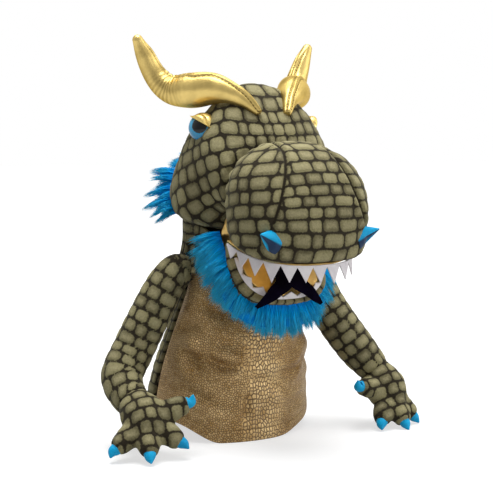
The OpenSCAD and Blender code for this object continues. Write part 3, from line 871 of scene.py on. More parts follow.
@dataclass(frozen=True)
class PlainCloth(Finish):
    """One-coloured cloth: felt, satin or fibre, told apart by grain, gloss and sheen."""

    base: str
    shadow: str
    grain_mm: float
    rough: float
    bump: float = 0.3
    sheen: float = 0.2
    metal: float = 0.0
    gloss: float = 0.5
    # inside: colour of the painted shade where the mesh says deep
    inside: str = "#0b0a0c"

    def dress(self, nodes: Nodes) -> None:
        """Two close colours by noise, a fine grain as bump, and painted shade, the inside colour, where the
        mesh says deep.

        Args:
            nodes: the material's nodes.
        """
        add = nodes.add
        place = add("TexCoord", out="Object")
        deep = add("Attribute", out="Fac", attribute_name="deep")
        grain = add("TexNoise", {"Vector": place, "Scale": per_metre(self.grain_mm), "Detail": 4.0,
                                 "Roughness": 0.65}, "Fac")
        fade = add("TexNoise", {"Vector": place, "Scale": per_metre(12.0), "Detail": 2.0}, "Fac")
        fade = add("Math", {0: grain, 1: 0.5, 2: fade}, **PLUS)
        fade = add("MapRange", {0: fade, 1: 0.5, 2: 1.0})
        base = add("Mix", {0: fade, 6: self.shadow, 7: self.base}, **TINT)
        # painted shade: the inside colour where the mesh says deep, in the nostrils' folds
        base = add("Mix", {0: deep, 6: base, 7: self.inside}, **TINT)
        relief = add("Bump", {"Strength": self.bump, "Distance": 0.6 * MM, "Height": grain})
        nodes.shade({"Base Color": base, "Normal": relief, "Roughness": self.rough, "Metallic": self.metal,
                     "Sheen Weight": self.sheen, "Specular IOR Level": self.gloss})


@dataclass(frozen=True)
class LongPile(Finish):
    """Long acrylic fur: deep blue at the root, paler towards the tip."""

    root: str = "#008cf2"
    mid: str = "#02bcff"
    tip: str = "#48d6ff"

    def dress(self, nodes: Nodes) -> None:
        """Colour along each strand, with a tone of its own.

        Args:
            nodes: the material's nodes.
        """
        add = nodes.add
        along, tone = (add("Attribute", out="Fac", attribute_name=key) for key in ("along", "tone"))
        lower = add("MapRange", {0: along, 1: 0.0, 2: 0.45})
        upper = add("MapRange", {0: along, 1: 0.4, 2: 1.0})
        base = add("Mix", {0: lower, 6: self.root, 7: self.mid}, **TINT)
        base = add("Mix", {0: upper, 6: base, 7: self.tip}, **TINT)
        shade = add("MapRange", {0: tone, 3: 0.7, 4: 1.15})
        base = add("VectorMath", {0: base, "Scale": shade}, operation="SCALE")
        nodes.shade({"Base Color": base, "Roughness": 0.7, "Specular IOR Level": 0.08})


@dataclass(frozen=True)
class EyePlastic(Finish):
    """Moulded acrylic toy eye: colour under a clear polished dome."""

    middle: str
    rim: str

    def dress(self, nodes: Nodes) -> None:
        """Colour by the distance from the eye's axis, streaked a little, under a clear coat.

        Args:
            nodes: the material's nodes.
        """
        add = nodes.add
        place = add("TexCoord", out="Object")
        ring = add("Attribute", out="Fac", attribute_name="ring")
        streak = add("TexNoise", {"Vector": place, "Scale": per_metre(2.2), "Detail": 3.0}, "Fac")
        ring = add("Math", {0: streak, 1: 0.3, 2: ring}, **PLUS)
        edge = add("MapRange", {0: ring, 1: 0.75, 2: 1.2}, **SMOOTH)
        base = add("Mix", {0: edge, 6: self.middle, 7: self.rim}, **TINT)
        nodes.shade({"Base Color": base, "Roughness": 0.1, "IOR": 1.49, "Specular IOR Level": 0.3,
                     "Coat Weight": 0.12, "Coat Roughness": 0.05})


PLUSH = PrintedPlush("printed_scale_plush", "scale_plush", "sewn")
GOLD = GoldLame("woven_gold_lame", "gold_lame", "sewn")
MOUTH_GOLD = GoldLame("mouth_gold_lame", "gold_lame", "sewn", "#7d5a24", "#e6c27a", 0.34)
CRACKLE = CrackleFoil("crackle_foil_cloth", "crackle_cloth", "sewn")
COPPER = PlainCloth("copper_lining_satin", "copper_satin", "sewn", "#b8702e", "#8f5220", 1.2, 0.38,
                    bump=0.15, metal=0.25)
FELT_WHITE = PlainCloth("white_wool_felt", "white_felt", "felt", "#f7f3f5", "#e6e0e4", 0.9, 0.9,
                        bump=0.35, sheen=0.0, gloss=0.2)
FELT_NAVY = PlainCloth("navy_wool_felt", "navy_felt", "felt", "#120d20", "#080611", 0.9, 0.9,
                       bump=0.35, sheen=0.0, gloss=0.0)
# inside: the dark navy of the painted shade in the nostrils' folds
SATIN_BLUE = PlainCloth("blue_polyester_satin", "blue_satin", "sewn", "#08b6ec", "#0496cc", 1.0, 0.5,
                        bump=0.12, sheen=0.0, gloss=0.25, inside="#06284a")
FIBRE = PlainCloth("stuffing_fibre", "stuffing", "fibre", "#f1eee6", "#d9d4c8", 2.2, 0.95,
                   bump=0.9, sheen=0.3)
CARD = PlainCloth("grey_card", "", "", "#a89a80", "#8d8069", 1.6, 0.9, bump=0.2, sheen=0.0)
WASHER = PlainCloth("moulded_washer", "", "", "#d9d9d3", "#c9c9c2", 2.5, 0.45, bump=0.08, sheen=0.0)
FUR = LongPile("long_blue_fur", "blue_fur", "pile")
IRIS = EyePlastic("eye_iris", "eye_blue", "moulded", "#2fb0e4", "#1788c0")
PUPIL = EyePlastic("eye_pupil", "eye_black", "moulded", "#07070a", "#100d14")


@dataclass(frozen=True)
class Sheet:
    """Facts of a piece that is cut from flat cloth.

    Attributes:
        flat: length and width of the cut piece in metres; not used.
        area: its area in square metres; not used.
        held: how it is kept in shape; not used.
        rests: pieces that it lies on.
    """

    flat: tuple[float, float]
    area: float
    held: Held = Held.STRETCHED
    rests: tuple[str, ...] = ()


def piece(node: str, skin: Skin, finish: Finish, body: str,
          sheet: Sheet | None = None, second: str = "") -> bpy.types.Object:
    """Adds a finished piece to the scene and puts it on its body.

    Args:
        node: the CAD node that it stands for.
        skin: its shape.
        finish: its finish.
        body: the body that it rides on, or none where it is blended across a joint.
        sheet: the facts of a sheet.
        second: last word of a second piece of the node, which takes the place of no solid.

    Returns:
        The object.
    """
    name = f"{node}_{finish.ending}{second}"
    obj = put(name, skin.mesh(name))
    obj.data.materials.append(finish.material())
    if body:
        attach(obj, body)
    if not second:
        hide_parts(node)
    if sheet:
        list(sheet.rests)
    log.info("%s: %d points on %s", name, len(skin.points), body or "two bodies")
    return obj


# Print and fur


@dataclass(frozen=True)
class ScalePrint:
    """Rows of rounded cells, as on the printed plush.

    Attributes:
        wide, tall: usual cell size along and across a row, in mm.
        seed: which cloth.
        shift: how unevenly the upright lines stand, as a share of a cell.
    """

    wide: float
    tall: float
    seed: int
    shift: float = 0.2

    def paint(self, across: Array, turn: Array, girth: float | Callable[[Array], Array], p: Array) -> Values:
        """Print on points given by their place in the rows.

        A cell is a rounded box between two row lines and two upright lines. Its inner distance is the
        usual one of a rounded box, corner radius included.

        Args:
            across: mm across the rows.
            turn: share of a whole turn along the row, 0 to 1.
            girth: length of that whole turn in mm, or a function that gives it for row numbers.
            p: the points, for the unevenness.

        Returns:
            scale, the distance in mm inside a cell's edge, and tone, one number for each cell.
        """
        y = across / self.tall + 0.13 * noise(p, 26.0, self.seed) + 0.05 * noise(p, 9.0, self.seed + 1)
        row = np.floor(y).astype(int)
        around = girth(row) if callable(girth) else np.full(row.shape, girth)
        count = np.maximum(3, np.round(around / self.wide)).astype(int)
        x = (turn % 1.0) * count + chance(row, seed=self.seed) + 0.09 * noise(p, 17.0, self.seed + 2)
        col = np.floor(x).astype(int)

        def line(c: Array) -> Array:
            """Place of the upright line before column c."""
            return c + self.shift * (2 * chance(row, c % count, seed=self.seed + 3) - 1)

        col = np.where(x < line(col), col - 1, np.where(x > line(col + 1), col + 1, col))
        left, right, pitch = line(col), line(col + 1), around / count
        half_w, half_h = (right - left) * pitch / 2, self.tall / 2
        off_x, off_y = np.abs(x - (left + right) / 2) * pitch, np.abs(y - row - 0.5) * self.tall
        corner = 0.72 * np.minimum(half_w, half_h)
        qx, qy = off_x - (half_w - corner), off_y - (half_h - corner)
        inside = np.hypot(np.maximum(qx, 0), np.maximum(qy, 0)) + np.minimum(np.maximum(qx, qy), 0) - corner
        return {"scale": -inside, "tone": chance(row, col % count, seed=self.seed + 5)}

    def dome(self, p: Array, centre: Array, axis: Array, size: float) -> Values:
        """Print on a domed piece, in rings round an axis.

        The row is the angle from the axis times the usual radius, and the turn is the angle round it.

        Args:
            p: points.
            centre: middle of the dome.
            axis: direction of its pole.
            size: usual radius in mm.

        Returns:
            The values of paint().
        """
        k = unit(axis)
        e1 = unit(np.cross(k, np.array([1.0, 0.0, 0.0])))
        v = p - centre
        rise, a, b = v @ k, v @ e1, v @ np.cross(k, e1)

        def girth(row: Array) -> Array:
            """Length of a ring of the dome, a little slack."""
            polar = np.clip((row + 0.5) * self.tall / size, 0, math.pi)
            return 2.16 * math.pi * size * np.maximum(np.sin(polar), 0.12)

        return self.paint(np.arctan2(np.hypot(a, b), rise) * size, np.arctan2(b, a) / TURN + 0.5, girth, p)


def strands(root: Array, ahead: Array, length: Array, droop: Array, thick: float, seed: int,
            curl: float) -> Skin:
    """Fur: tapering three-sided strands that leave their roots straight and then bend.

    A strand is the curve root + ahead * s + droop * s^2 plus a slow wave, with s its length so far.

    Args:
        root: (n, 3) roots.
        ahead: (n, 3) directions, length 1.
        length: (n,) lengths in mm.
        droop: (n, 3) bend over the whole length, in mm.
        thick: thickness at the root in mm.
        seed: random field.
        curl: size of the wave in mm.

    Returns:
        The skin, with along and tone.
    """
    n, rows, sides = len(root), 4, 3
    key, s = np.arange(n), np.linspace(0, 1, rows + 1)
    any_way = unit(np.stack([chance(key, seed=seed + k) - 0.5 for k in (1, 2, 3)], axis=1))
    side = unit(np.cross(ahead, any_way))
    other = np.cross(ahead, side)
    phase = TURN * chance(key, seed=seed + 4)
    wave = curl * (np.sin(phase[:, None] + 5.0 * s) - np.sin(phase)[:, None])
    line = (root[:, None] + ahead[:, None] * (s * length[:, None])[..., None]
            + droop[:, None] * (s**2)[None, :, None] + side[:, None] * wave[..., None])
    fat = thick * (0.75 + 0.5 * chance(key, seed=seed + 5))[:, None] * (1 - s**1.6)[None]
    corner = np.radians([90, 210, 330])[None, None, :, None]
    ring = line[:, :-1, None] + fat[:, :-1, None, None] / 2 * (
        side[:, None, None] * np.cos(corner) + other[:, None, None] * np.sin(corner))
    points = np.concatenate([ring.reshape(n, rows * sides, 3), line[:, -1:]], axis=1)
    per = rows * sides + 1
    index = np.arange(rows * sides).reshape(rows, sides)
    after = np.roll(index, -1, axis=1)
    quads = np.stack([index[:-1], after[:-1], after[1:], index[1:]], axis=-1).reshape(-1, 4)
    tris = np.stack([index[-1], after[-1], np.full(sides, per - 1)], axis=1)
    start = key[:, None, None] * per
    along = np.append(np.repeat(s[:-1], sides), 1.0)
    values = {"along": np.tile(along, n), "tone": np.repeat(chance(key, seed=seed + 6), per)}
    faces = ((part[None] + start).reshape(-1, part.shape[1]) for part in (quads, tris))
    return Skin(points.reshape(-1, 3), *faces, values)


@dataclass
class Fur:
    """Long fur sewn on as a strip: a dark backing along a path, and two coats of strands.

    Attributes:
        node, body: the node that it stands for and the body that it rides on.
        path, sizes: stations of the backing, and its half thickness there.
        seed: random field.
        count: strands in a coat.
        locks: locks that the strands draw together in.
        gather, thick: least share of that draw, and the strands' thickness in mm.
    """

    node: str
    body: str
    path: Array
    sizes: Array
    seed: int
    count: int
    locks: int
    gather: float = 0.35
    thick: float = 0.8

    def backing(self) -> Skin:
        """The strip under the strands, as a thin tube."""
        core = sweep(self.path, self.sizes, rows=90, count=20, ref=np.array([0.03, 0.02, 1.0]))[0]
        return Skin.tube(core, values={"along": np.array(0.1), "tone": np.array(0.3)})

    def grow(self, hair: Callable[[Array, int], Hair]) -> None:
        """Makes both coats; a strand's end is drawn towards the end of the nearest lock.

        Args:
            hair: gives roots, directions and lengths for strand numbers and a seed.
        """
        lock_root, lock_ahead, lock_length = hair(np.arange(self.locks), self.seed + 90)
        lock_end = lock_root + lock_ahead * lock_length[:, None]
        key = np.arange(self.count)
        for coat, second in enumerate(("", "_outer")):
            seed = self.seed + 40 * coat
            root, ahead, length = hair(key, seed)
            near = np.argmin(((root[:, None] - lock_root[None]) ** 2).sum(-1), axis=1)
            pull = mix(self.gather, 0.95, chance(key, seed=seed + 5))[:, None]
            end = mix(root + ahead * length[:, None], lock_end[near], pull)
            reach = (end - root) * mix(0.72, 1.05, chance(key, seed=seed + 6))[:, None]
            far = np.linalg.norm(reach, axis=1)
            droop = np.array([0, 0, -0.16]) * far[:, None]
            droop = droop + 1.5 * np.stack([noise(root, 9.0, self.seed + k) for k in (7, 8, 9)], axis=1)
            fur = strands(root, unit(reach), far, droop, self.thick, seed + 11, curl=0.5)
            skin = fur if second else Skin.join(self.backing(), fur)
            piece(self.node, skin, FUR, self.body, second=second)


# Shapes that several sub-assemblies use


def sided(front: Array, back: Array, side: Side) -> Skin:
    """Cloth of a piece that is drawn for the left side; on the right its faces change places."""
    return Skin.shell(front, back, False) if side is Side.LEFT else Skin.shell(back, front, False)


def drawn_in(p: Array, by: float) -> Array:
    """Rings with each point moved towards its ring's middle by that many mm."""
    mid = p.mean(axis=-2, keepdims=True)
    return mid + (p - mid) * (1 - by / np.linalg.norm(p - mid, axis=-1, keepdims=True))


def pad(rings: list[Array], rows: int, rough: float, seed: int) -> Skin:
    """Lumpy fibre pad through a list of rings.

    Args:
        rings: the rings.
        rows: rows of the grid.
        rough, seed: height of the lumps, and their seed.

    Returns:
        The closed skin.
    """
    p = even_rows(np.stack(rings), rows)
    mid = p.reshape(-1, 3).mean(0)
    return Skin.tube(p - unit(p - mid) * (0.8 + rough * noise(p, 8.0, seed))[..., None])


def outline(wide: float, long: float, start: float, square: float) -> Array:
    """Lip outline in plan from the right corner to the left: half a superellipse, as (x, y) points.

    Args:
        wide, long: half width and length.
        start: y of the corners.
        square: exponent of the superellipse.

    Returns:
        (721, 2) points.
    """
    a = np.linspace(0, math.pi, 721)
    c, d = spow(np.cos(a), 2 / square), spow(np.sin(a), 2 / square)
    return np.stack([-wide * c, start - (long + start) * d], axis=1)


def plan_normals(line: Array) -> Array:
    """Level normals of a lip outline, turned away from the mouth."""
    out = unit(np.stack([np.gradient(line[:, 1]), -np.gradient(line[:, 0])], axis=1))
    return out * np.sign((out * (line + np.array([0, 25]))).sum(-1).mean())


def teeth(line: Array, count: int, tall: float, up: int, base: float, slope: float,
          lean: float = 0.0) -> Skin:
    """Zigzag felt strip along a lip outline.

    The edge is a triangle wave along the outline's length, lower towards the corners.

    Args:
        line: outline points.
        count: teeth.
        tall: height of the front teeth.
        up: 1 for standing teeth, -1 for hanging ones.
        base, slope: height of the sewn edge, and its slope along y.
        lean: how far the teeth lean inwards, in degrees.

    Returns:
        The strip, relative to the hinge.
    """
    run = lengths(line)
    u = np.linspace(0, 1, count * 24 + 1)
    x, y = (np.interp(u * run[-1], run, line[:, k]) for k in (0, 1))
    out = plan_normals(np.stack([x, y], axis=1))
    wave = 1 - np.abs(2 * (u * count % 1.0) - 1)
    uneven = 0.9 + 0.2 * chance(np.floor(np.minimum(u, 0.9999) * count).astype(int), seed=count)
    sewn = 1.2
    high = sewn + (tall * uneven * np.minimum(1, 0.3 + np.abs(y) / 50) - sewn) * wave**1.05
    v = np.linspace(0, 1, 14)[:, None]
    lift = base + slope * y + up * high * v * math.cos(math.radians(lean))
    flare = 1.1 * v**2 * wave - high * v * math.sin(math.radians(lean))

    def face(sign: float) -> Array:
        """One face of the felt, thinner towards the points."""
        move = sign * FELT / 2 * (1 - 0.35 * v * wave) + flare
        return np.stack([x + out[:, 0] * move, y + out[:, 1] * move, lift], axis=-1)

    return Skin.shell(face(up), face(-up), False)


def lip_sheet(wide: float, y0: float, y1: float, rows: int = 60, columns: int = 70) -> Array:
    """Tongue-shaped flat grid: the half width falls as sqrt(1 - f^4) towards the front.

    Args:
        wide: half width.
        y0, y1: its ends.
        rows, columns: size of the grid.

    Returns:
        The points, at z = 0.
    """
    f, j = net(np.linspace(0, 1, rows), np.linspace(-1, 1, columns))
    half = wide * np.sqrt(np.maximum(0, 1 - (f * 0.985) ** 4))
    return np.stack([half * j, mix(y0, y1, f), np.zeros_like(f)], axis=-1)


# Sleeve


@dataclass
class Sleeve:
    """The cloth sleeve that stands on its hem: belly, back, lining and facing.

    Attributes:
        height, hem, shoulder, collar, lean, arch: sizes in mm, as width and depth where there are two.
        neck: share of the height where the shoulders begin to draw in to the collar.
        belly: half the angle of the belly panel, in degrees.
        cloth: thickness of the plush.
        creases: middle across and up the front, length, width, depth and tilt in degrees of each crease.
    """

    height: float = 158.0
    hem: tuple[float, float] = (146.0, 116.0)
    shoulder: tuple[float, float] = (94.0, 70.0)
    collar: float = 68.0
    lean: float = 22.0
    arch: float = 18.0
    neck: float = 0.94
    belly: float = 90.0
    cloth: float = 2.4
    creases: tuple = ((-70, 84, 15, 8, 5.0, 8), (-69, 61, 13, 7, 4.5, -8), (-38, 63, 26, 4, 3.6, 2),
                      (-33, 80, 13, 4, 2.6, -10), (5, 45, 20, 4.5, 3.4, -20), (-15, 30, 10, 3.5, 3.2, 62),
                      (26, 54, 20, 4, 3.0, 6), (78, 50, 17, 6, 4.5, 0), (56, 76, 18, 5, 3.0, 8),
                      (42, 24, 18, 4.5, 2.4, -12), (-50, 32, 20, 4.5, 2.6, 8), (-44, 106, 16, 5, 3.0, 15))

    def half(self, s: Array, k: int) -> Array:
        """Half the width (k = 0) or depth (k = 1) at the share s of the height.

        Args:
            s, k: shares, and which of the two.

        Returns:
            Sizes in mm.
        """
        t = (s / self.neck) ** 1.25
        low = mix(self.hem[k], self.shoulder[k], ease(t) * 0.7 + t * 0.3)
        drawn = mix(self.shoulder[k], self.collar, ease((s - self.neck) / 0.06))
        return np.where(s < self.neck, low, drawn) / 2

    def point(self, s: Array, a: Array) -> Array:
        """Points of the sleeve at the shares s of the height and the angles a from +X, in degrees.

        Args:
            s, a: shares and angles.

        Returns:
            The points.
        """
        c, d = np.cos(np.radians(a)), np.sin(np.radians(a))
        lift = self.arch * ease((np.abs(c) - 0.5) / 0.5)
        x = self.half(s, 0) * c
        y = self.half(s, 1) * d - self.lean * (0.35 * s + 0.65 * ease(s))
        return np.stack([x, y, mix(lift, self.height, s)], axis=-1)

    def skin(self, s: Array, a: Array, deep: float | Array) -> Array:
        """Grid of points moved inwards, level, by deep.

        Args:
            s, a: as in point().
            deep: how far, in mm.

        Returns:
            The points.
        """
        along = self.point(s, a + 1) - self.point(s, a - 1)
        out = unit(np.stack([along[..., 1], -along[..., 0], np.zeros_like(s)], axis=-1))
        return self.point(s, a) - np.broadcast_to(deep, s.shape)[..., None] * out

    def across(self, s: Array, a: Array) -> Array:
        """Distance round from the middle of the front, in mm."""
        return np.radians(a - FRONT) * self.half(s, 0)

    def folds(self, s: Array, a: Array) -> Array:
        """Depth of the creases of the slack front, in mm: long bells across the panel, over stretched noise.

        None at the hem, the collar and the side seams.

        Args:
            s, a: as in point().

        Returns:
            Depths in mm.
        """
        across, rise = self.across(s, a), s * self.height
        deep = np.zeros_like(s)
        for x, z, length, width, depth, tilt in self.creases:
            c, d = math.cos(math.radians(tilt)), math.sin(math.radians(tilt))
            u, v = (across - x) * c + (rise - z) * d, (rise - z) * c - (across - x) * d
            v = v + 2.0 * np.sin(u / length * 2.1 + x)
            groove = bell(v, width) - 0.35 * bell(np.abs(v) - 2.1 * width, width)
            deep = deep + depth * bell(u, length) * groove
        flat = self.point(s, a) * np.array([0.42, 0.42, 1.0])
        deep = deep + 1.6 * noise(flat, 21.0, 31) + 0.7 * noise(flat, 9.0, 32)
        return deep * ease(s / 0.1) * ease((1 - s) / 0.3) * ease((self.belly - np.abs(a - FRONT)) / 14)

    def belly_panel(self) -> None:
        """Slack, creased front of crackle cloth, with a stitched line over the hem and one curled place."""
        s, a = net(np.linspace(0, 1, 165), np.linspace(FRONT - self.belly, FRONT + self.belly, 200))
        deep = self.folds(s, a)
        edge = 0.9 * bell(s * self.height - 9.0, 1.2) + 2.0 * bell(np.abs(a - FRONT) - self.belly, 2.0)
        front = self.skin(s, a, deep + edge)
        back = self.skin(s, a, self.cloth + np.maximum(deep, 0))
        front[..., 2] += 5.5 * bell(a - 304, 12.0) * ease((0.16 - s) / 0.16)
        back[..., 2] = front[..., 2]
        values = {"across": self.across(s, a), "rise": s * self.height}
        piece("belly_panel", Skin.shell(front, back, False, values), CRACKLE, "sleeve",
              sheet=Sheet((0.215, 0.165), 0.0265, rests=("sleeve_lining_sewn",)))

    def back_panel(self) -> None:
        """Printed plush back, drawn in along its side seams."""
        gap = 0.6
        s, a = net(np.linspace(0, 1, 150), np.linspace(self.belly - 90 + gap, FRONT - self.belly - gap, 210))
        flat = self.point(s, a)
        seam = np.minimum(a - a.min(), a.max() - a)
        deep = 1.3 * noise(flat * np.array([0.5, 0.5, 1.0]), 26.0, 41) * ease(s / 0.1) * ease((1 - s) / 0.2)
        deep = deep * ease(seam / 8) + 1.6 * (1 - ease(seam / 2.5))
        values = ScalePrint(13.0, 10.5, seed=51).paint(s * 165, (a + 90) / 360, girth=345.0, p=flat)
        out = self.skin(s, a, -1) - self.skin(s, a, 0)
        front = swollen(self.skin(s, a, deep), out, values, high=0.4, soft=3.5)
        piece("back_panel", Skin.shell(front, self.skin(s, a, self.cloth), False, values), PLUSH, "sleeve",
              sheet=Sheet((0.215, 0.165), 0.0265, rests=("sleeve_lining_sewn",)))

    def lining(self) -> None:
        """Satin lining, puckered at the hem, and the facing inside it; both follow the belly's folds."""
        around = np.arange(0, 360, 2.0)
        s, a = net(np.linspace(0.02, 0.85, 60), around)
        pucker = 0.35 * np.sin(np.radians(a) * 34) * ease((0.3 - s) / 0.3)
        pucker = pucker + 0.5 * noise(self.point(s, a), 18.0, 61)
        drawn = np.maximum(self.folds(s, a), 0) + 0.25 * (1 + pucker)
        outer, inner = (self.skin(s, a, deep + drawn) for deep in (3.2, 4.1))
        piece("sleeve_lining", Skin.shell(outer, inner, True), COPPER, "sleeve",
              sheet=Sheet((0.39, 0.14), 0.046, Held.HUNG))
        s, a = net(np.linspace(0.01, 24 / self.height, 16), around)
        drawn = np.maximum(self.folds(s, a), 0)
        outer, inner = (self.skin(s, a, deep + drawn) for deep in (4.75, 5.6))
        piece("hem_facing", Skin.shell(outer, inner, True), COPPER, "sleeve",
              sheet=Sheet((0.40, 0.024), 0.0088, Held.FOLDED))

    def build(self) -> None:
        """Makes and dresses the four layers."""
        self.belly_panel()
        self.back_panel()
        self.lining()


# Head


@dataclass
class Head:
    """Stuffed head with its neck, horns, eyes, lids and mane.

    Attributes:
        wide, crown, back: head sizes in mm.
        horn_span, horn_high, horn_thick: reach of a horn across and up, and its half thickness.
        eye_radius, eye_flat: size of an eye's dome, and its height as a share of that.
        lows, tops, halves, tapers: stations from the neck opening to the brow.
        brow: top of the last station, in mm from the hinge.
    """

    wide: float = 124.0
    crown: float = 122.0
    back: float = 96.0
    horn_span: float = 83.5
    horn_high: float = 160.0
    horn_thick: float = 14.5
    eye_radius: float = 11.3
    eye_flat: float = 0.72
    lows: tuple = ((12, 4), (12, 7), (11, 9), (10, 11), (8, 12), (5, 12), (2, 11), (-1, 8.5), (-4, 5.5))
    tops: tuple = ((0.915, 0.05), (1, 0.2), (0.97, 0.47), (0.79, 0.745), (0.54, 0.93), (0.31, 1),
                   (0.14, 0.915), (0.02, 0.78))
    brow: tuple = (-10.2, 71.8)
    halves: tuple = (32.65 / 62, 0.93, 1, 0.99, 0.95, 0.92, 0.9, 0.87, 0.82)
    tapers: tuple = (0, 0.06, 0.12, 0.15, 0.16, 0.15, 0.12, 0.08, 0.04)

    def ring(self, i: int, count: int = 372) -> Array:
        """Station i as a ring of points.

        Args:
            i, count: the station, and how many points.

        Returns:
            (count, 3) points.
        """
        last = i == len(self.tops)
        top = self.brow if last else (self.tops[i][0] * self.back, self.tops[i][1] * self.crown)
        low, high = (HINGE + np.array([0, *end]) for end in (self.lows[i], top))
        half = self.halves[i] * self.wide / 2
        return section(low, high, half, up=2.2, down=2.2, taper=self.tapers[i], count=count)

    def eye_frame(self, side: Side) -> tuple[Array, Array]:
        """Seat of an eye, and its axes as rows, the last one looking out.

        Args:
            side: which side.

        Returns:
            The seat and the axes.
        """
        yaw, tip = math.radians(-30), math.radians(71)
        turn_y = np.array([[math.cos(tip), 0, math.sin(tip)], [0, 1, 0], [-math.sin(tip), 0, math.cos(tip)]])
        turn_z = np.array([[math.cos(yaw), -math.sin(yaw), 0], [math.sin(yaw), math.cos(yaw), 0], [0, 0, 1]])
        axes = (turn_z @ turn_y).T
        seat = HINGE + np.array([self.wide * 0.386, 0.315 * self.back, 86.0]) + 3.3 * axes[2]
        return seat * side.mirror, axes * side.mirror

    def cover(self) -> None:
        """Printed plush cover, open to the neck and to the snout, puckered at the brow."""
        p = even_rows(np.stack([self.ring(i) for i in range(len(self.lows))]), rows=186)
        out = outward(p, np.array([0, -45, 225.0]))
        t = np.linspace(0, 1, len(p))[:, None]
        near = (1 - t) * 150  # rough distance from the brow in mm
        lump = 1.1 * noise(p, 30.0, 71) + 0.5 * noise(p, 13.0, 72)
        wave = np.sin(turns(p.shape[1]) * 26 + 2 * noise(p, 20.0, 73))
        pucker = -1.5 * bell(near, 9.0) * (0.5 + 0.5 * wave)
        roll = -2.2 * bell(near, 4.0)
        dent = sum(-1.8 * bell(np.linalg.norm(p - self.eye_frame(side)[0], axis=-1), 13.0) for side in Side)
        p = p + out * (lump * ease(t / 0.1) + pucker + roll + dent)[..., None]
        cells = ScalePrint(14.0, 13.2, seed=11)
        values = cells.dome(p, np.array([0, -42, 222.0]), axis=np.array([0, 0.35, 0.94]), size=self.wide / 2)
        p = swollen(p, out, values, high=0.5, soft=3.5)
        grid, values = hemmed(p, out, values, row=6, lead=(2.6, 2.4), tail=(2.4, 2.8))
        piece("head_cover", Skin.grid(grid, True, True, values), PLUSH, "head")

    def neck_tube(self) -> None:
        """Plush neck: a boxy oval tube from over the shoulders to the head, with soft gathers."""
        v, a = net(np.linspace(0, 1, 60), turns(280))
        c, d = spow(np.cos(a), 0.78), spow(np.sin(a), 0.78)
        back, fore = ease((np.sin(a) + 1) / 2), ease((-np.sin(a) - 0.3) / 0.6)
        z = mix(139 + 14 * fore, 165 + 6 * (1 - fore) + 20 * back, v)
        pinch = 2.6 * np.sin(math.pi * v) ** 2
        gathers = (0.9 * np.sin(a * 17) + 0.6 * np.sin(a * 29 + 1)) * np.sin(math.pi * v)

        def wall(deep: float) -> Array:
            """Tube wall, drawn in by deep."""
            half_w, half_d = 54.5 - 7.0 * v - pinch - deep + gathers, 36.6 + 0.6 * v - pinch - deep + gathers
            return np.stack([half_w * c, -20.5 + half_d * d, z], axis=-1)

        outer, inner = wall(0.0), wall(2.2)
        values = ScalePrint(10.5, 8.5, seed=21).paint(z, a / TURN, girth=285.0, p=outer)
        obj = piece("neck_tube", Skin.shell(outer, inner, True, values), PLUSH, "",
                    sheet=Sheet((0.29, 0.045), 0.0108, Held.GATHERED))
        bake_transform(obj)

    def horn(self, side: Side) -> None:
        """Stuffed gold horn: a round tube on a curved path, creased at the bend, with a stitched seam.

        Args:
            side: which side.
        """
        xs = np.array([0.16, 0.287, 0.455, 0.6, 0.72, 0.826, 0.928, 1]) * self.horn_span
        ys = np.array([2, 15, 31, 47, 62, 71, 74.5, 75])
        zs = np.array([0.612, 0.69, 0.733, 0.728, 0.735, 0.797, 0.903, 0.983]) * self.horn_high
        radii = np.array([0.22, 0.55, 0.88, 1, 0.8, 0.66, 0.5, 0.3]) * self.horn_thick
        path, ref = HINGE + np.stack([xs, ys, zs], axis=1), np.array([0, -1.0, 0])
        p, run, angle = sweep(path, radii, rows=190, count=96, ref=ref)
        axis = p.mean(axis=1, keepdims=True)
        # creases across the inner side of the bend
        inner = np.maximum(0, np.cos(angle - 0.35))
        bend = bell(run - 84, 13.0)
        crease = -0.85 * bend * inner * (0.5 + 0.5 * np.sin(run / 5.4 * TURN + 1.5 * noise(p, 9.0, 81)))
        # a raised seam between two sunk rows of stitches, which turns to the side near the root
        row = 2.4
        seam_at = np.radians(26 + 44 * ease((62 - run) / 62))
        off = np.abs(turned_from(angle, seam_at)) * np.linalg.norm(p - axis, axis=-1)
        ridge = 0.8 * bell(off, 1.2) - 0.8 * bell(off - row, 0.8)
        calm = ease((run.max() - run) / 12)
        p = p + unit(p - axis) * (crease + (ridge + 0.5 * noise(p, 14.0, 82)) * calm)[..., None]
        dash = ease((np.sin(run / 3.0 * TURN) + 0.3) / 0.5)
        stitch = bell(off - row, 0.6) * mix(0.45, 1.0, dash) + 0.5 * bell(off, 0.4)
        # painted shade in the ripples of the bend and on the underside, and painted dark reflections in
        # blotches
        painted_ripple_shade = bend * (0.5 + 0.5 * np.sin(run / 3.4 * TURN + 2.5 * noise(p, 8.0, 83)))
        painted_reflection_blotch = ease((noise(p * np.array([1, 1, 0.6]), 15.0, 84) - 0.05) / 0.7)
        under = bell(turned_from(angle, math.radians(200)), 0.7)
        # streak carries the painted shade and the painted reflections into the gold's colour
        streak = 0.45 * painted_ripple_shade + 0.5 * painted_reflection_blotch + 0.45 * under
        # a rounded end
        end, dome = p[-1].mean(0), np.radians(np.array([24.0, 46.0, 66.0, 82.0]))[:, None, None]
        ahead = unit(end - p[-4].mean(0)) * np.linalg.norm(p[-1] - end, axis=-1).mean()
        p = np.concatenate([p, end + ahead * np.sin(dome) + (p[-1] - end) * np.cos(dome)])
        values = {key: np.concatenate([v * calm, np.repeat(v[-1:] * 0.2, len(dome), axis=0)])
                  for key, v in (("stitch", stitch), ("streak", streak))}
        skin = Skin.tube(p * side.mirror, side is Side.LEFT, values)
        piece(f"horn_{side.word}", skin, GOLD, "head")

    def eye(self, side: Side) -> None:
        """Moulded eye with its shank, and the dark pupil on its dome.

        Args:
            side: which side.
        """
        seat, axes = self.eye_frame(side)
        r, a = self.eye_radius, turns(72)
        around = np.stack([np.cos(a), np.sin(a)], axis=-1)

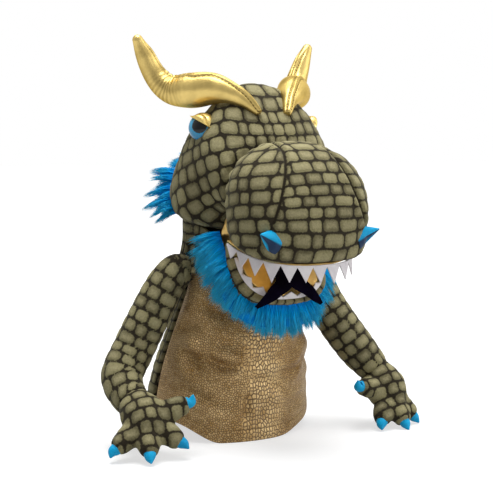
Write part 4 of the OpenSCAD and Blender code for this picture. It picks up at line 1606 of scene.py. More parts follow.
        def moulded(node: str, radii: Array, flat: Array, rise: Array, finish: Finish) -> None:
            """Adds a round piece from its places across the eye's axis and its heights over the seat.

            Args:
                node, finish: its node, less the side, and its finish.
                radii: distances from its axis.
                flat, rise: those places and heights.
            """
            p = seat + np.concatenate([flat, rise[..., None]], axis=-1) @ axes
            skin = Skin.grid(p, True, side is Side.RIGHT, {"ring": radii / r})
            piece(f"{node}_{side.word}", skin, finish, "head")

        e = np.radians(np.linspace(0, 89.5, 40))
        dome = np.stack([r * np.cos(e), self.eye_flat * r * np.sin(e)], axis=1)
        shank = np.array([[0.05, -14], [2.4, -14], [2.5, -13.5], [2.5, -3.2], [r - 0.2, -3.2]])
        radii, rise = np.hsplit(np.vstack([shank, dome]), 2)
        moulded("eye", radii, radii[..., None] * around, np.broadcast_to(rise, (len(rise), len(a))), IRIS)
        # the pupil is a thin disc on the dome, off its middle
        reach, way = 6.2, 5.32
        radii = np.concatenate([np.linspace(0.05, reach, 26), np.linspace(reach, 0.05, 26)])[:, None]
        lift = np.repeat([0.1, 0.45], 26)[:, None]
        flat = radii[..., None] * around + 2.4 * np.array([math.cos(way), math.sin(way)])
        rise = self.eye_flat * np.sqrt(np.maximum(r**2 - (flat**2).sum(-1), 0)) + lift
        moulded("pupil", radii, flat, rise, PUPIL)

    def lid(self, side: Side) -> None:
        """Padded gold lid: a brow over the dome, thick in the middle and thin at its ends.

        Its lower edge is straight. Across the crescent, the outer face is a three-point curve from the head,
        over a crown, to the lid's edge on the dome, and the inner face follows the dome.

        Args:
            side: which side.
        """
        seat, axes = self.eye_frame(side)
        v, u = net(np.linspace(0, 1, 30), np.linspace(0, 1, 90))
        chord, middle, dome, lining = 2.2, math.radians(206.0), 12.8, 11.6
        a = middle + math.acos(chord / dome) * (2 * u - 1)
        swell = np.sin(math.pi * np.clip(u * 0.96 + 0.02, 0, 1)) ** 0.6
        edge = np.arccos(np.clip(chord / np.cos(a - middle) / dome, 0, 1))

        def placed(r: Array, h: Array) -> Array:
            """Points at the distance r from the eye's axis and the height h over its seat."""
            return seat + np.stack([r * np.cos(a), r * np.sin(a), h], axis=-1) @ axes

        def curve(start: float | Array, mid: Array, end: Array) -> Array:
            """Three-point curve across the crescent."""
            return (1 - v) ** 2 * start + 2 * v * (1 - v) * mid + v**2 * end

        r_edge, h_edge = dome * np.cos(edge), self.eye_flat * dome * np.sin(edge)
        wide = 1.2 + 5.6 * swell
        outer = placed(curve(r_edge + wide, r_edge + wide + 0.6, r_edge),
                       curve(-4.5, h_edge + 3.6 * swell + 0.8, h_edge + 0.7))
        outer = outer + 0.25 * noise(outer, 7.0, 91)[..., None] * unit(outer - seat)
        e = mix(math.radians(-24.0), edge, v)
        inner = placed(lining * np.cos(e), self.eye_flat * lining * np.sin(e))
        piece(f"eyelid_{side.word}", sided(outer, inner, side), GOLD, "head")

    def mane(self) -> None:
        """Fur along a band round the back of the head, pointing out and down."""
        at = np.array([[-0.92, 66, 0.14], [-0.87, 82, 0.28], [-0.62, 95, 0.41], [-0.3, 99, 0.48],
                       [0, 100, 0.5]])
        path = both_sides(HINGE + at * np.array([self.wide / 2, self.back / 98, self.crown]))
        thick = 11
        sizes = np.array([0.4, 0.8, 1, 1, 1, 1, 1, 0.8, 0.4]) * thick
        heart, level = np.array([0, -30.0, 222.0]), np.array([1, 1, 0.35])

        def hair(key: Array, seed: int) -> Hair:
            """Roots, directions and lengths of the mane's strands.

            Args:
                key: numbers of the strands.
                seed: first seed of their draws.

            Returns:
                The three arrays.
            """
            t = (key + chance(key, seed=seed)) / len(key) * (len(path) - 1)
            mid, size = spline(path, t), spline(sizes[:, None], t)
            ahead = unit(spline(path, np.minimum(t + 0.05, 7.99)) - spline(path, np.maximum(t - 0.05, 0.0)))
            away = unit((mid - heart) * level)
            away = unit(away - (away * ahead).sum(-1, keepdims=True) * ahead)
            fan = np.radians(mix(-75.0, 75.0, chance(key, seed=seed + 1)))[:, None]
            leave = away * np.cos(fan) + np.cross(ahead, away) * np.sin(fan)
            root = mid + size * (0.5 * leave - 0.75 * away)
            slant = (0.8 * chance(key, seed=seed + 2) - 0.4)[:, None]
            length = mix(12.0, 35.0, chance(key, seed=seed + 3) ** 1.1) * (0.6 + 0.4 * size[:, 0] / thick)
            way = unit(leave + 0.6 * away + slant * ahead + np.array([0, 0, -0.2]))
            return root, way, length * np.cos(fan[:, 0] * 0.7)

        sewn = path - unit((path - heart) * level) * 0.55 * sizes[:, None]
        Fur("mane_fur", "head", sewn, sizes * 0.5, seed=101, count=4200, locks=95,
            gather=0.6, thick=0.66).grow(hair)

    def stuffing(self) -> None:
        """Fibre pad in the crown: the head's own shape above a level, drawn together and lumpy."""
        level = 217
        rings = []
        for i in range(2, 7):
            ring = self.ring(i)
            mid = ring.mean(0)
            ring = mid + (ring - mid) * 0.955
            top, low = ring[len(ring) // 2], ring[0]
            ring = top + (ring - top) * ((top[2] - level) / (top[2] - low[2]))
            rings.append(ring[::6] * np.array([0.88, 1, 1]))
        piece("crown_stuffing", pad(rings, rows=40, rough=0.8, seed=111), FIBRE, "head")

    def build(self) -> None:
        """Makes and dresses the head's pieces."""
        self.cover()
        self.neck_tube()
        for side in Side:
            self.horn(side)
            self.eye(side)
            self.lid(side)
        self.mane()
        self.stuffing()


# Snout


LIP_TILT = math.radians(16)
LIP = math.tan(LIP_TILT)
LAYER = 3.0  # from a lip to the card board behind it: a layer of plush and two gaps
BOARD = 2.3  # a card board and the gap to the pocket behind it


def lip_z(y: float | Array) -> float | Array:
    """Height of the upper lip's plane over the hinge, at y."""
    return y * LIP


@dataclass
class Snout:
    """Upper half of the mouth: printed snout, gold palate, teeth, nostrils, pocket and fillings.

    Attributes:
        half, long, high: half width, length and height of the snout in mm.
        backs, tops, halves: stations from the brow to the nose, as shares of those sizes.
        square: squareness of each station's lower half.
        pocket: height of the finger pocket.
    """

    half: float = 56.0
    long: float = 68.0
    high: float = 74.0
    backs: tuple = (-0.12, -0.3, -0.5, -0.7, -0.85, -0.94)
    tops: tuple = ((-0.27, 1), (-0.47, 1), (-0.69, 0.91), (-0.86, 0.72), (-0.96, 0.46), (-1, 0.17))
    halves: tuple = (0.94, 1, 1, 0.93, 0.77, 0.46)
    square: tuple = (4, 7, 8, 8, 6, 3)
    pocket: float = 26.0

    def station(self, i: int, count: int, lift: float = 0.0) -> Array:
        """Station i as a ring of points, with its lowest point raised by lift.

        Args:
            i, count: the station, and how many points.
            lift: in mm.

        Returns:
            (count, 3) points.
        """
        y = self.backs[i] * self.long
        low = HINGE + np.array([0, y, lip_z(y) + lift])
        top = HINGE + np.array([0, self.tops[i][0] * self.long, self.tops[i][1] * self.high])
        half = self.halves[i] * self.half
        return section(low, top, half, up=2.5, down=self.square[i], taper=0.03, count=count)

    def rings(self, head: Head, count: int = 360) -> Array:
        """Stations from the brow to the nose.

        Args:
            head: the head it is sewn to.
            count: points in a ring.

        Returns:
            (9, count, 3) points.
        """
        last = len(self.backs) - 1
        out = [head.ring(len(head.tops), count) + np.array([0, -0.3, 0])]
        out += [self.station(i, count, 3.0 if i == last else 0.0) for i in range(last + 1)]
        nose = HINGE + np.array([0, -1.03 * self.long, 0.03 * self.high])
        out.append(nose + (out[-1] - nose) * np.array([0.5, 0.28, 0.5]))
        out.append(nose + (out[-2] - nose) * np.array([0.05, 0.0, 0.05]))
        return np.stack(out)

    def cover(self, head: Head) -> None:
        """Printed plush cover with its two panel seams and the gathered crease at the brow.

        Args:
            head: the head it is sewn to.
        """
        p = even_rows(self.rings(head), rows=150)
        out = outward(p, HINGE + np.array([0, -36, 28]))
        t = np.linspace(0, 1, len(p))[:, None]
        near = t * 95  # rough distance from the brow in mm
        lump = 0.9 * noise(p, 26.0, 121) + 0.4 * noise(p, 12.0, 122)
        wave = np.sin(turns(p.shape[1]) * 24 + 2.5 * noise(p, 20.0, 123))
        pucker = -1.4 * bell(near, 10.0) * (0.5 + 0.5 * wave)
        # two sunk seams that part towards the lip, with the cloth full beside them
        z = p[..., 2] - HINGE[2]
        seam_x = 19 + np.maximum(0, self.high - z) * 0.39
        off = np.abs(np.abs(p[..., 0]) - seam_x)
        upper = ease((z - 6) / 10) * ease((self.high + 4 - z) / 4)
        seam = -1.7 * bell(off, 1.5) * upper + 0.7 * bell(off - 4, 3.0) * upper
        p = p + out * (lump * ease(t / 0.06) + pucker - 2.0 * bell(near, 4.0) + seam)[..., None]
        x, y, z = np.moveaxis(p - (HINGE + np.array([0, -30, 26])), -1, 0)
        # rows over the nose on the middle panel, level rows on the sides, and a dark line along the seams
        over, yaw, wide = np.arctan2(z, -y), np.arctan2(x, -y) / TURN, 225.0
        front = ScalePrint(15.0, 11.0, seed=13).paint(over * 46, x / wide + 0.5, girth=wide, p=p)
        sides = ScalePrint(14.0, 11.0, seed=15).paint(z * 1.05 + 0.12 * y, yaw + 0.5, girth=310.0, p=p)
        values = {k: np.where(np.abs(x) < seam_x, front[k], sides[k]) for k in front}
        values["scale"] = np.minimum(values["scale"], (off - 0.4) + 6 * (1 - upper))
        p = swollen(p, out, values, high=0.5, soft=3.5)
        grid, values = hemmed(p, out, values, row=6, lead=(2.8, 2.4))
        piece("snout_cover", Skin.bag(grid, True, values), PLUSH, "head")

    def palate(self) -> None:
        """Gold lining of the palate."""
        p = lip_sheet(46.5, -3.0, -0.87 * self.long)
        wrinkle = 0.35 * noise(p * np.array([1, 0.5, 1]), 7.0, 131)
        p[..., 2] = lip_z(p[..., 1]) - 0.45
        q = p - UP * (0.8 + 0.4 * (1 + wrinkle))[..., None]
        piece("palate_lining", Skin.shell(HINGE + q, HINGE + p, False), MOUTH_GOLD, "head",
              sheet=Sheet((0.093, 0.058), 0.0046, rests=("snout_cover_sewn",)))

    def fold(self) -> None:
        """Gold roll on the hinge, with a pleated flap at each corner of the mouth."""
        u, a = net(np.linspace(-1, 1, 120), turns(40))
        x = u * 38.6
        r = 2.35 - 0.25 * (1 + np.sin(x * 1.9 + 1.2 * np.sin(x * 0.6)))
        end = np.array([38.7, 0, 0])
        roll = Skin.tube(HINGE + np.stack([x, r * np.cos(a), r * np.sin(a)], axis=-1),
                         ends=(HINGE - end, HINGE + end))
        reach, turn = net(np.linspace(1.5, 18.5, 24), np.radians(np.linspace(-35, 105, 60)))
        pleat = 0.5 * np.sin(turn * 9) * reach / 20
        flap = np.stack([37.4 + pleat, reach * np.cos(turn), reach * np.sin(turn)], axis=-1)
        flaps = []
        for side in (Side.LEFT, Side.RIGHT):
            near, far = (HINGE + (flap + np.array([thick, 0, 0])) * side.mirror for thick in (0.0, 0.9))
            flaps.append(sided(near, far, side))
        piece("mouth_fold", Skin.join(roll, *flaps), MOUTH_GOLD, "head")

    def upper_teeth(self) -> None:
        """Hanging teeth along the lip."""
        line = outline(self.half * 0.9, self.long * 0.92, start=-10, square=2.6)
        strip = teeth(line, count=13, tall=14.0, up=-1, base=-0.3, slope=LIP)
        strip.points = strip.points + HINGE
        piece("upper_teeth", strip, FELT_WHITE, "head",
              sheet=Sheet((0.165, 0.014), 0.0015, Held.HUNG, ("snout_cover_sewn",)))

    def nostril(self, side: Side) -> None:
        """Satin nostril: a cone that points outwards, folded in along its lower front, with painted shade in
        the fold.

        Args:
            side: which side.
        """
        mouth = HINGE + np.array([0.73 * self.half, -0.86 * self.long, 0.03 * self.high])
        tip = HINGE + np.array([0.985 * self.half, -0.955 * self.long, 0.1 * self.high])
        ahead = unit(tip - mouth)
        s = unit(np.cross(ahead, UP))
        u = np.cross(s, ahead)
        v, w = net(np.linspace(0, 1, 40), np.arange(96) / 96)
        turn = 360 * w - 235
        fold = ease((46 - np.abs(turn + 55)) / 12)
        r = mix(10.5, 0.5, v**1.05) * (1 - 0.4 * fold * ease((v - 0.2) / 0.25))
        line = (mouth - 3.5 * ahead) + (tip - mouth + 3.5 * ahead) * v[..., None]
        a = np.radians(turn)
        p = line + s * (0.68 * r * np.cos(a))[..., None] + u * (r * np.sin(a))[..., None]
        # deep carries the painted shade of the fold
        skin = Skin.tube(p * side.mirror, side is Side.RIGHT, {"deep": fold})
        piece(f"nostril_{side.word}", skin, SATIN_BLUE, "head")

    def inside(self) -> None:
        """Finger pocket and the fibre pad above it."""
        floor = LAYER / math.cos(LIP_TILT) + BOARD
        rings = []
        stations = ((-0.16, 1, 26), (-0.4, 1, 26), (-0.66, 0.9, 26), (-0.82, 0.66, 20.8), (-0.86, 0.3, 9))
        for place, wide, tall in stations:
            y = place * self.long
            z = lip_z(y) + floor + 0.5 + (self.pocket - tall) * 0.35
            low, high = HINGE + np.array([0, y, z]), HINGE + np.array([0, y - 2, z + tall - 0.5])
            rings.append(section(low, high, 37.6 * wide, up=3.2, down=4, taper=0, count=90))
        p = even_rows(np.stack(rings), rows=40)
        inner = drawn_in(p, 0.9) + np.array([0, 0.6, 0])
        piece("finger_pocket", Skin.shell(inner, p, True), COPPER, "head",
              sheet=Sheet((0.19, 0.055), 0.0088, Held.FOLDED))
        low = HINGE[2] + floor + self.pocket + 0.6
        rings = []
        for i in range(5):
            x, y, z = drawn_in(self.station(i, 72), 3.2).T
            rings.append(np.stack([x * 0.9, y + 1, low + np.maximum(0, mix(low, z, 0.9) - low)], axis=1))
        piece("snout_stuffing", pad(rings, rows=30, rough=0.7, seed=141), FIBRE, "head")

    def build(self, head: Head) -> None:
        """Makes and dresses the snout's pieces.

        Args:
            head: the head it is sewn to.
        """
        self.cover(head)
        self.palate()
        self.fold()
        self.upper_teeth()
        for side in Side:
            self.nostril(side)
        self.inside()


# Jaw


@dataclass
class Jaw:
    """Lower jaw, drawn closed with its rim level and then opened: cover, floor, teeth, tongue and beard.

    Attributes:
        half, long, deep: half width, length and depth in mm.
        angle: opening angle in degrees.
        rim: how far the rim lies under the hinge.
        lows, tops, halves: stations from the throat to the chin, as shares of those sizes.
    """

    half: float = 45.0
    long: float = 56.0
    deep: float = 28.0
    angle: float = 62.0
    rim: float = 3.0
    lows: tuple = ((-0.42, -0.82), (-0.52, -0.97), (-0.61, -0.97), (-0.77, -0.82), (-0.9, -0.6),
                   (-0.975, -0.4))
    tops: tuple = (0.03, -0.24, -0.5, -0.73, -0.9, -0.985)
    halves: tuple = (0.97, 1, 0.98, 0.9, 0.71, 0.4)

    def opened(self, p: Array) -> Array:
        """Points of the closed jaw, turned down about the hinge.

        Args:
            p: points from the hinge.

        Returns:
            Points in the frame's axes.
        """
        c, s = math.cos(math.radians(self.angle)), math.sin(math.radians(self.angle))
        x, y, z = p[..., 0], p[..., 1], p[..., 2]
        return HINGE + np.stack([x, y * c - z * s, y * s + z * c], axis=-1)

    def cover(self) -> None:
        """Printed plush under the jaw, rolled in at the lip."""
        rings = []
        last = len(self.tops) - 1
        for i in range(last + 1):
            low = np.array([0, self.lows[i][0] * self.long, self.lows[i][1] * self.deep])
            top = np.array([0, self.tops[i] * self.long, -self.rim - (1 if i == last else 0)])
            rings.append(section(low, top, self.halves[i] * self.half, up=7, down=2.3, taper=0, count=260))
        chin = np.array([0, -1.01 * self.long, -0.27 * self.deep])
        rings.append(chin + (rings[-1] - chin) * np.array([0.5, 0.4, 0.5]))
        rings.append(chin + (rings[-2] - chin) * np.array([0.05, 0, 0.05]))
        p = even_rows(np.stack(rings), rows=100)
        out = outward(p, np.array([0, -28, -12.0]))
        p = p + out * (0.6 * noise(p, 16.0, 151))[..., None]
        values = ScalePrint(12.5, 8.5, seed=17).dome(p, np.array([0, -24, -4.0]), axis=UP, size=40.0)
        p = swollen(p, out, values, high=0.4, soft=3.0)
        grid, values = hemmed(p, out, values, row=5, lead=(2.6, 2.2))
        piece("jaw_cover", Skin.bag(self.opened(grid), True, values), PLUSH, "jaw")

    def prong(self, side: Side) -> Skin:
        """Half of the forked tongue: it lies on the floor, lifts over the teeth and hangs over the lip.

        Args:
            side: which half; the left tip points ahead and the right one out to the side.

        Returns:
            Felt of even thickness.
        """
        if side is Side.LEFT:
            tip, way = ((0.3, -0.91, 6.5), (0.42, -1.02, 5.5), (0.54, -1.1, 3.5)), (0.85, 0.5, 0)
        else:
            tip, way = ((0.42, -0.9, 8), (0.6, -0.99, 6), (0.71, -1.03, -4)), (0.7, 0.7, 0)
        mid = np.array([(0, -0.2, 0), (0, -0.5, 0.8), (0.13, -0.74, 5.0), *tip])
        mid = mid * np.array([self.half, self.long, 1]) + np.array([0, 0, -1.5])
        wide = np.array([0.5, 0.54, 0.56, 0.42, 0.29, 0.1])[:, None] * 26
        lean = unit(np.array([(1, 0, 0), (1, 0, 0), (0.92, 0.4, 0), way, way, way]))
        inner, outer = mid - lean * wide / 2, mid + lean * wide / 2
        inner[:2] = mid[:2] * np.array([0, 1, 1]) - np.array([0.4, 0, 0])
        outer[:2] = mid[:2] + lean[:2] * wide[:2]
        edges = even_rows(np.stack([inner, outer], axis=1), rows=70)
        w = np.linspace(0, 1, 16)[None, :, None]
        low = mix(edges[:, :1], edges[:, 1:], w)
        low[..., 2] += 0.7 * np.sin(math.pi * w[..., 0])
        under, over = (self.opened(p * side.mirror) for p in (low, low + FELT * UP))
        return sided(under, over, side)

    def mouth(self) -> None:
        """Gold mouth floor, standing teeth and the forked felt tongue."""
        p = lip_sheet(self.half * 0.82, -3.0, -0.9 * self.long)
        p[..., 2] = -self.rim + 0.35
        q = p + UP * (1.0 + 0.6 * noise(p * np.array([1, 0.5, 1]), 7.0, 161))[..., None]
        piece("mouth_floor", Skin.shell(self.opened(p), self.opened(q), False), MOUTH_GOLD, "jaw",
              sheet=Sheet((0.074, 0.049), 0.0032, rests=("jaw_cover_sewn",)))
        line = outline(self.half * 0.9, self.long * 0.945, start=-16, square=2.6)
        strip = teeth(line, count=9, tall=7.0, up=1, base=-self.rim + 0.3, slope=0.0, lean=50.0)
        strip.points = self.opened(strip.points)
        piece("lower_teeth", strip, FELT_WHITE, "jaw",
              sheet=Sheet((0.125, 0.010), 0.00065, Held.HUNG, ("jaw_cover_sewn",)))
        piece("tongue", Skin.join(self.prong(Side.LEFT), self.prong(Side.RIGHT)), FELT_NAVY, "jaw",
              sheet=Sheet((0.062, 0.06), 0.00175, rests=("mouth_floor_sewn",)))

    def pocket(self) -> None:
        """Thumb pocket under the jaw's board."""
        top = -self.rim - LAYER - BOARD
        rings = []
        for place, wide, tall in ((-0.44, 1, 13), (-0.6, 1, 12.35), (-0.75, 0.8, 9.1), (-0.78, 0.4, 4)):
            y = place * self.long
            low, high = np.array([0, y - 1, top - tall + 0.2]), np.array([0, y + 1, top - 0.2])
            rings.append(section(low, high, 16.7 * wide, up=3, down=3, taper=0, count=60))
        p = even_rows(np.stack(rings), rows=24)
        inner = drawn_in(p, 0.8) + np.array([0, 0.5, 0])
        piece("thumb_pocket", Skin.shell(self.opened(inner), self.opened(p), True), COPPER, "jaw",
              sheet=Sheet((0.083, 0.02), 0.00155, Held.FOLDED))

    def beard(self) -> None:
        """Fur sewn round the underside of the jaw, from corner to corner."""
        at = np.array([[-0.98, 5, -32], [-0.95, -3, -52], [-0.7, -11, -64], [-0.36, -14, -69],
                       [0, -15, -70]])
        path = both_sides(HINGE + at * np.array([self.half, self.long / 58, self.long / 58]))
        rim = outline(self.half, self.long, start=10.0, square=2.4)
        run = lengths(rim)
        lines = (*rim.T, *plan_normals(rim).T)

        def hair(key: Array, seed: int) -> Hair:
            """Roots under the lip, directions out from it and down, and lengths.

            Args:
                key: numbers of the strands.
                seed: first seed of their draws.

            Returns:
                The three arrays.
            """
            at = (key + chance(key, seed=seed)) / len(key) * run[-1]
            x, y, nx, ny = (np.interp(at, run, line) for line in lines)
            low = chance(key, seed=seed + 1)
            out = np.stack([nx, ny, np.zeros_like(nx)], axis=1)
            root = np.stack([x, y, -self.rim - 5.0 - 12 * low], axis=1) - out * (0.5 + 5 * low**2)[:, None]
            slant = (0.9 * chance(key, seed=seed + 2) - 0.45)[:, None]
            side = np.stack([-ny, nx, np.zeros_like(nx)], axis=1) * slant
            ahead = self.opened(out + side - UP * (0.1 + 0.9 * low)[:, None]) - HINGE
            length = mix(15.0, 27.0, chance(key, seed=seed + 3) ** 0.9)
            return self.opened(root), unit(ahead + np.array([0, 0, -0.3])), length

        Fur("beard_fur", "jaw", path, np.full(len(path), 5.0), seed=171, count=9300, locks=170).grow(hair)

    def build(self) -> None:
        """Makes and dresses the jaw's pieces."""
        self.cover()
        self.mouth()
        self.pocket()
        self.beard()


# Arms


LIMB_REF = np.array([0.0, -1.0, 0.05])  # where the rings of a limb start
FINGER_REF = np.array([0.12, 0.05, 1.0])  # where the rings of a finger or a claw start


@dataclass
class Arm:
    """A stuffed arm with its hand and claws.

    Attributes:
        side: which side.
        path: stations from the shoulder to the wrist, in mm.
        palm: middle of the palm.
        tips: ends of three fingers and the thumb.
        shares: half thickness at the stations, as shares of thick.
        thick: usual half thickness in mm.
    """

    side: Side
    path: Array
    palm: Array
    tips: Array
    shares: tuple = (0.7, 0.74, 0.82, 0.93, 1, 1.02, 1, 0.9, 0.82)
    thick: float = 17.5

    @property
    def sizes(self) -> Array:
        """Half thickness at the stations, in mm."""
        return np.array(self.shares) * self.thick

    def limb(self) -> None:
        """Printed arm: a swelling tube, filled, with rows of scales across it."""
        thin = sweep(self.path, self.sizes - 0.8, rows=60, count=40, ref=LIMB_REF)[0]
        skin = stuffed(Skin.tube(thin), voxel=3.6, pressure=4.0, cap=3.0, smooth=2)
        q, run, _ = sweep(self.path, self.sizes, rows=200, count=24, ref=LIMB_REF)
        line = q.mean(axis=1)
        near = np.argmin(((skin.points[:, None] - line[None]) ** 2).sum(-1), axis=1)
        ahead = unit(np.gradient(line, axis=0))[near]
        s = unit(np.cross(np.broadcast_to(LIMB_REF, ahead.shape), ahead))
        u = np.cross(ahead, s)
        off = skin.points - line[near]
        turn = np.arctan2((off * u).sum(-1), (off * s).sum(-1)) / TURN + 0.5
        across = run[near, 0] + (off * ahead).sum(-1)
        cells = ScalePrint(12.0, 10.5, seed=23 + self.side.value)
        skin.values = cells.paint(across, turn, girth=100.0, p=skin.points)
        self.dress("arm", skin)

    def hand(self) -> None:
        """Printed hand: palm and fingers run together and filled like a mitten."""
        wrist = self.path[-1]
        start = wrist - 5.0 * unit(wrist - self.path[-2])
        way = np.stack([start, mix(start, self.palm, 0.55), self.palm, mix(self.palm, self.tips[1], 0.45)])
        ref = np.array([0.1, -0.9, 0.3])
        parts = [sweep(way, np.array([12.6, 16.8, 17.8, 12.5]), rows=24, count=28, ref=ref)[0]]
        for tip in self.tips:
            ahead = unit(tip - self.palm)
            way = np.stack([mix(self.palm, tip, 0.15), mix(self.palm, tip, 0.62), tip, tip + 3.5 * ahead])
            parts.append(sweep(way, np.array([8.5, 9.3, 7.8, 5.4]), rows=18, count=20, ref=FINGER_REF)[0])
        mitten = Skin.join(*(Skin.tube(p) for p in parts))
        skin = stuffed(mitten, voxel=2.3, pressure=2.0, cap=1.6, smooth=4)
        out = unit(self.tips[1] - wrist)
        side = self.tips[0] - self.tips[2]
        side = unit(side - (side @ out) * out)
        off, girth = skin.points - self.palm, 125.0
        cells = ScalePrint(11.5, 9.5, seed=43 + self.side.value)
        skin.values = cells.paint(off @ out, off @ side / girth + 0.5, girth, skin.points)
        self.dress("hand", skin)

    def dress(self, kind: str, skin: Skin) -> None:
        """Swells the cells of a printed, filled skin and adds it."""
        skin.points = swollen(skin.points, point_normals(skin), skin.values, high=0.4, soft=3.0)
        piece(f"{kind}_{self.side.word}", skin, PLUSH, f"arm_{self.side.word}")

    def claws(self) -> None:
        """Satin claws: short curved cones, a little uneven, one in each finger's end."""
        skins = []
        for tip, lift in zip(self.tips, (-0.2, -0.2, -0.2, 1.3)):
            d = unit(tip - self.palm)
            q = unit(d + np.array([0, -0.25, lift]))
            way = np.stack([tip + 2.0 * d, tip + 6.4 * d, tip + 3.8 * d + 7.0 * q])
            p = sweep(way, np.array([5.0, 3.9, 0.9]), rows=22, count=28, ref=FINGER_REF)[0]
            p = p + unit(p - p.mean(axis=1, keepdims=True)) * (0.2 * noise(p, 4.0, 181))[..., None]
            skins.append(Skin.tube(p, ends=(None, p[-1].mean(0) + 0.8 * q)))
        piece(f"claws_{self.side.word}", Skin.join(*skins), SATIN_BLUE, f"arm_{self.side.word}")

    def build(self) -> None:
        """Makes and dresses the arm's pieces."""
        self.limb()
        self.hand()
        self.claws()


def arms() -> tuple[Arm, Arm]:
    """Both arms, each with its own pose: the right one bent at the wrist, the left one reaching ahead.

    Returns:
        The right arm and the left arm.
    """
    x, z = 51.0, 139.04
    right = Arm(Side.RIGHT,
                np.array([[-x, -20, z], [-x - 3, -20, z], [-59, -19, z + 3], [-70, -17, 129],
                          [-83, -14, 104], [-97.5, -11, 75], [-109, -15, 57], [-110, -28, 45],
                          [-108, -38, 39]]),
                np.array([-107, -54, 29.0]),
                np.array([[-132, -56.5, 12], [-114.5, -74, 10], [-89.5, -73, 15], [-79, -64, 40]]))
    left = Arm(Side.LEFT,
               np.array([[x, -20, z], [x + 3, -20, z], [60, -22, z + 3], [71, -26, 127], [80, -32, 105.5],
                         [89.5, -39, 87], [102.5, -49, 65], [110.5, -55, 53.5], [115.5, -59, 45.5]]),
               np.array([122, -67, 29.0]),
               np.array([[138.5, -79, 9], [122, -89, 8], [104, -83.5, 9], [91, -73, 36.5]]))
    return right, left


# Studio


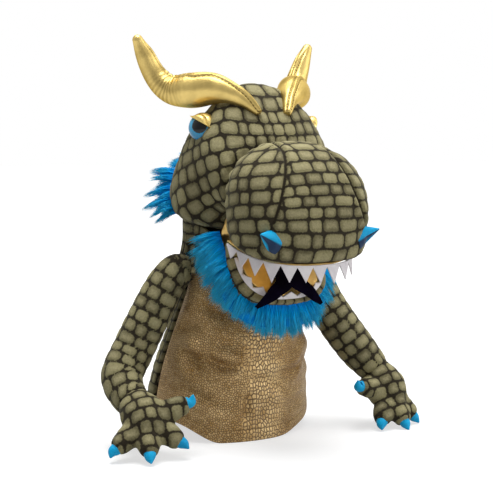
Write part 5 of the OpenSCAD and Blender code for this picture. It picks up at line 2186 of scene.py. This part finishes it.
@dataclass
class Studio:
    """Plain pale floor, soft light and the camera at the photographed angle.

    Attributes:
        azimuth, elevation: camera direction in degrees.
        distance: mm from the camera to the plane of the origin.
        shift: where the view's middle lies from the origin, in mm right and up.
        half: half the picture's width in mm at that distance.
        lamps: name, place, size and watts of each lamp, in metres.
    """

    azimuth: float = -32.0
    elevation: float = 5.0
    distance: float = 1000.0
    shift: tuple[float, float] = (16.1, 155.3)
    half: float = 214.5
    lamps: tuple = (("key", (-0.05, 0.0, 1.9), 1.5, 46.0), ("side", (1.3, -0.6, 0.9), 1.2, 6.0),
                    ("fill", (0.4, -1.6, 0.45), 1.2, 5.5))

    def camera(self) -> None:
        """Camera that looks along the fitted direction."""
        az, el = math.radians(self.azimuth), math.radians(self.elevation)
        right = np.array([math.cos(az), math.sin(az), 0])
        ahead = np.array([-math.sin(az) * math.cos(el), math.cos(az) * math.cos(el), -math.sin(el)])
        up = np.cross(right, ahead)
        data = bpy.data.cameras.new("camera")
        data.sensor_width = 36.0
        data.lens = data.sensor_width / 2 * self.distance / self.half
        data.clip_start, data.clip_end = 0.01, 100.0
        cam = put("camera", data)
        spot = self.shift[0] * right + self.shift[1] * up - self.distance * ahead
        aim(cam, (right, up, -ahead), spot * MM)
        bpy.context.scene.camera = cam

    def floor(self) -> None:
        """Pale floor that stays white to the camera and keeps the shadow."""
        size, z = 12.0, -0.0002
        me = bpy.data.meshes.new("floor")
        corners = [(-size, -size, z), (size, -size, z), (size, size, z), (-size, size, z)]
        me.from_pydata(corners, [], [(0, 1, 2, 3)])
        made = bpy.data.materials.new("pale_floor")
        made.use_nodes = True
        made.node_tree.nodes.clear()
        nodes = Nodes(made.node_tree)
        place = nodes.add("TexCoord", out="Object")
        far = nodes.add("VectorMath", {0: place}, "Value", operation="LENGTH")
        pale = nodes.add("MapRange", {0: far, 1: 0.3, 2: 1.1, 3: 0.64, 4: 1.0}, **SMOOTH)
        glow = nodes.add("Math", {0: nodes.seen(), 1: pale}, operation="MULTIPLY")
        grey = nodes.add("BsdfDiffuse", {"Color": (0.45, 0.45, 0.45, 1)})
        light = nodes.add("Emission", {"Color": (1, 1, 1, 1), "Strength": glow})
        nodes.add("OutputMaterial", {"Surface": nodes.add("AddShader", {0: grey, 1: light})})
        me.materials.append(made)
        put("floor", me)

    def light(self) -> None:
        """White surroundings and three large soft lamps; reflections also find a dim room."""
        world = bpy.data.worlds.new("studio")
        world.use_nodes = True
        world.node_tree.nodes.clear()
        nodes = Nodes(world.node_tree)
        way = nodes.add("TexCoord", out="Generated")
        toward = nodes.add("VectorMath", {0: way, 1: (-0.53, -0.85, 0.0)}, "Value", operation="DOT_PRODUCT")
        glossy = nodes.add("LightPath", out="Is Glossy Ray")
        dim = nodes.add("MapRange", {0: toward, 1: -0.1, 2: 0.75, 3: 0.0, 4: 0.5}, **SMOOTH)
        dim = nodes.add("Math", {0: dim, 1: glossy}, operation="MULTIPLY")
        rest = nodes.add("Math", {0: 1.0, 1: dim}, operation="SUBTRACT")
        glow = nodes.add("MapRange", {0: nodes.seen(), 3: 0.22, 4: 1.0})
        glow = nodes.add("Math", {0: glow, 1: rest}, operation="MULTIPLY")
        back = nodes.add("Background", {"Color": (1, 1, 1, 1), "Strength": glow})
        nodes.add("OutputWorld", {"Surface": back})
        bpy.context.scene.world = world
        for name, spot, size, watts in self.lamps:
            data = bpy.data.lights.new(name, "AREA")
            data.shape, data.size, data.energy = "DISK", size, watts
            back = unit(np.array(spot) - np.array([0, -0.05, 0.17]))
            side = unit(np.cross(np.array([0.01, 0, 1.0]), back))
            aim(put(name, data), (side, np.cross(back, side), back), spot)
        bpy.context.scene.view_settings.view_transform = "Standard"

    def build(self) -> None:
        """Camera, floor and light."""
        self.camera()
        self.floor()
        self.light()


def dress_solids() -> None:
    """Finishes for the rigid nodes whose CAD shape is right: card boards and washers."""
    for name, finish in (("palate_board", CARD), ("jaw_board", CARD), ("eye_washers", WASHER)):
        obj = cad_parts[name]
        obj.data.materials.clear()
        obj.data.materials.append(finish.material())
        log.info("%s: solid kept", name)


def main() -> None:
    """Builds the puppet and its studio; each piece logs its point count as it is added."""
    logging.basicConfig(level=logging.INFO, format="%(message)s")
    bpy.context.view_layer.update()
    Studio().build()
    Sleeve().build()
    head = Head()
    head.build()
    Snout().build(head)
    Jaw().build()
    for arm in arms():
        arm.build()
    dress_solids()


if __name__ == "__main__":
    main()
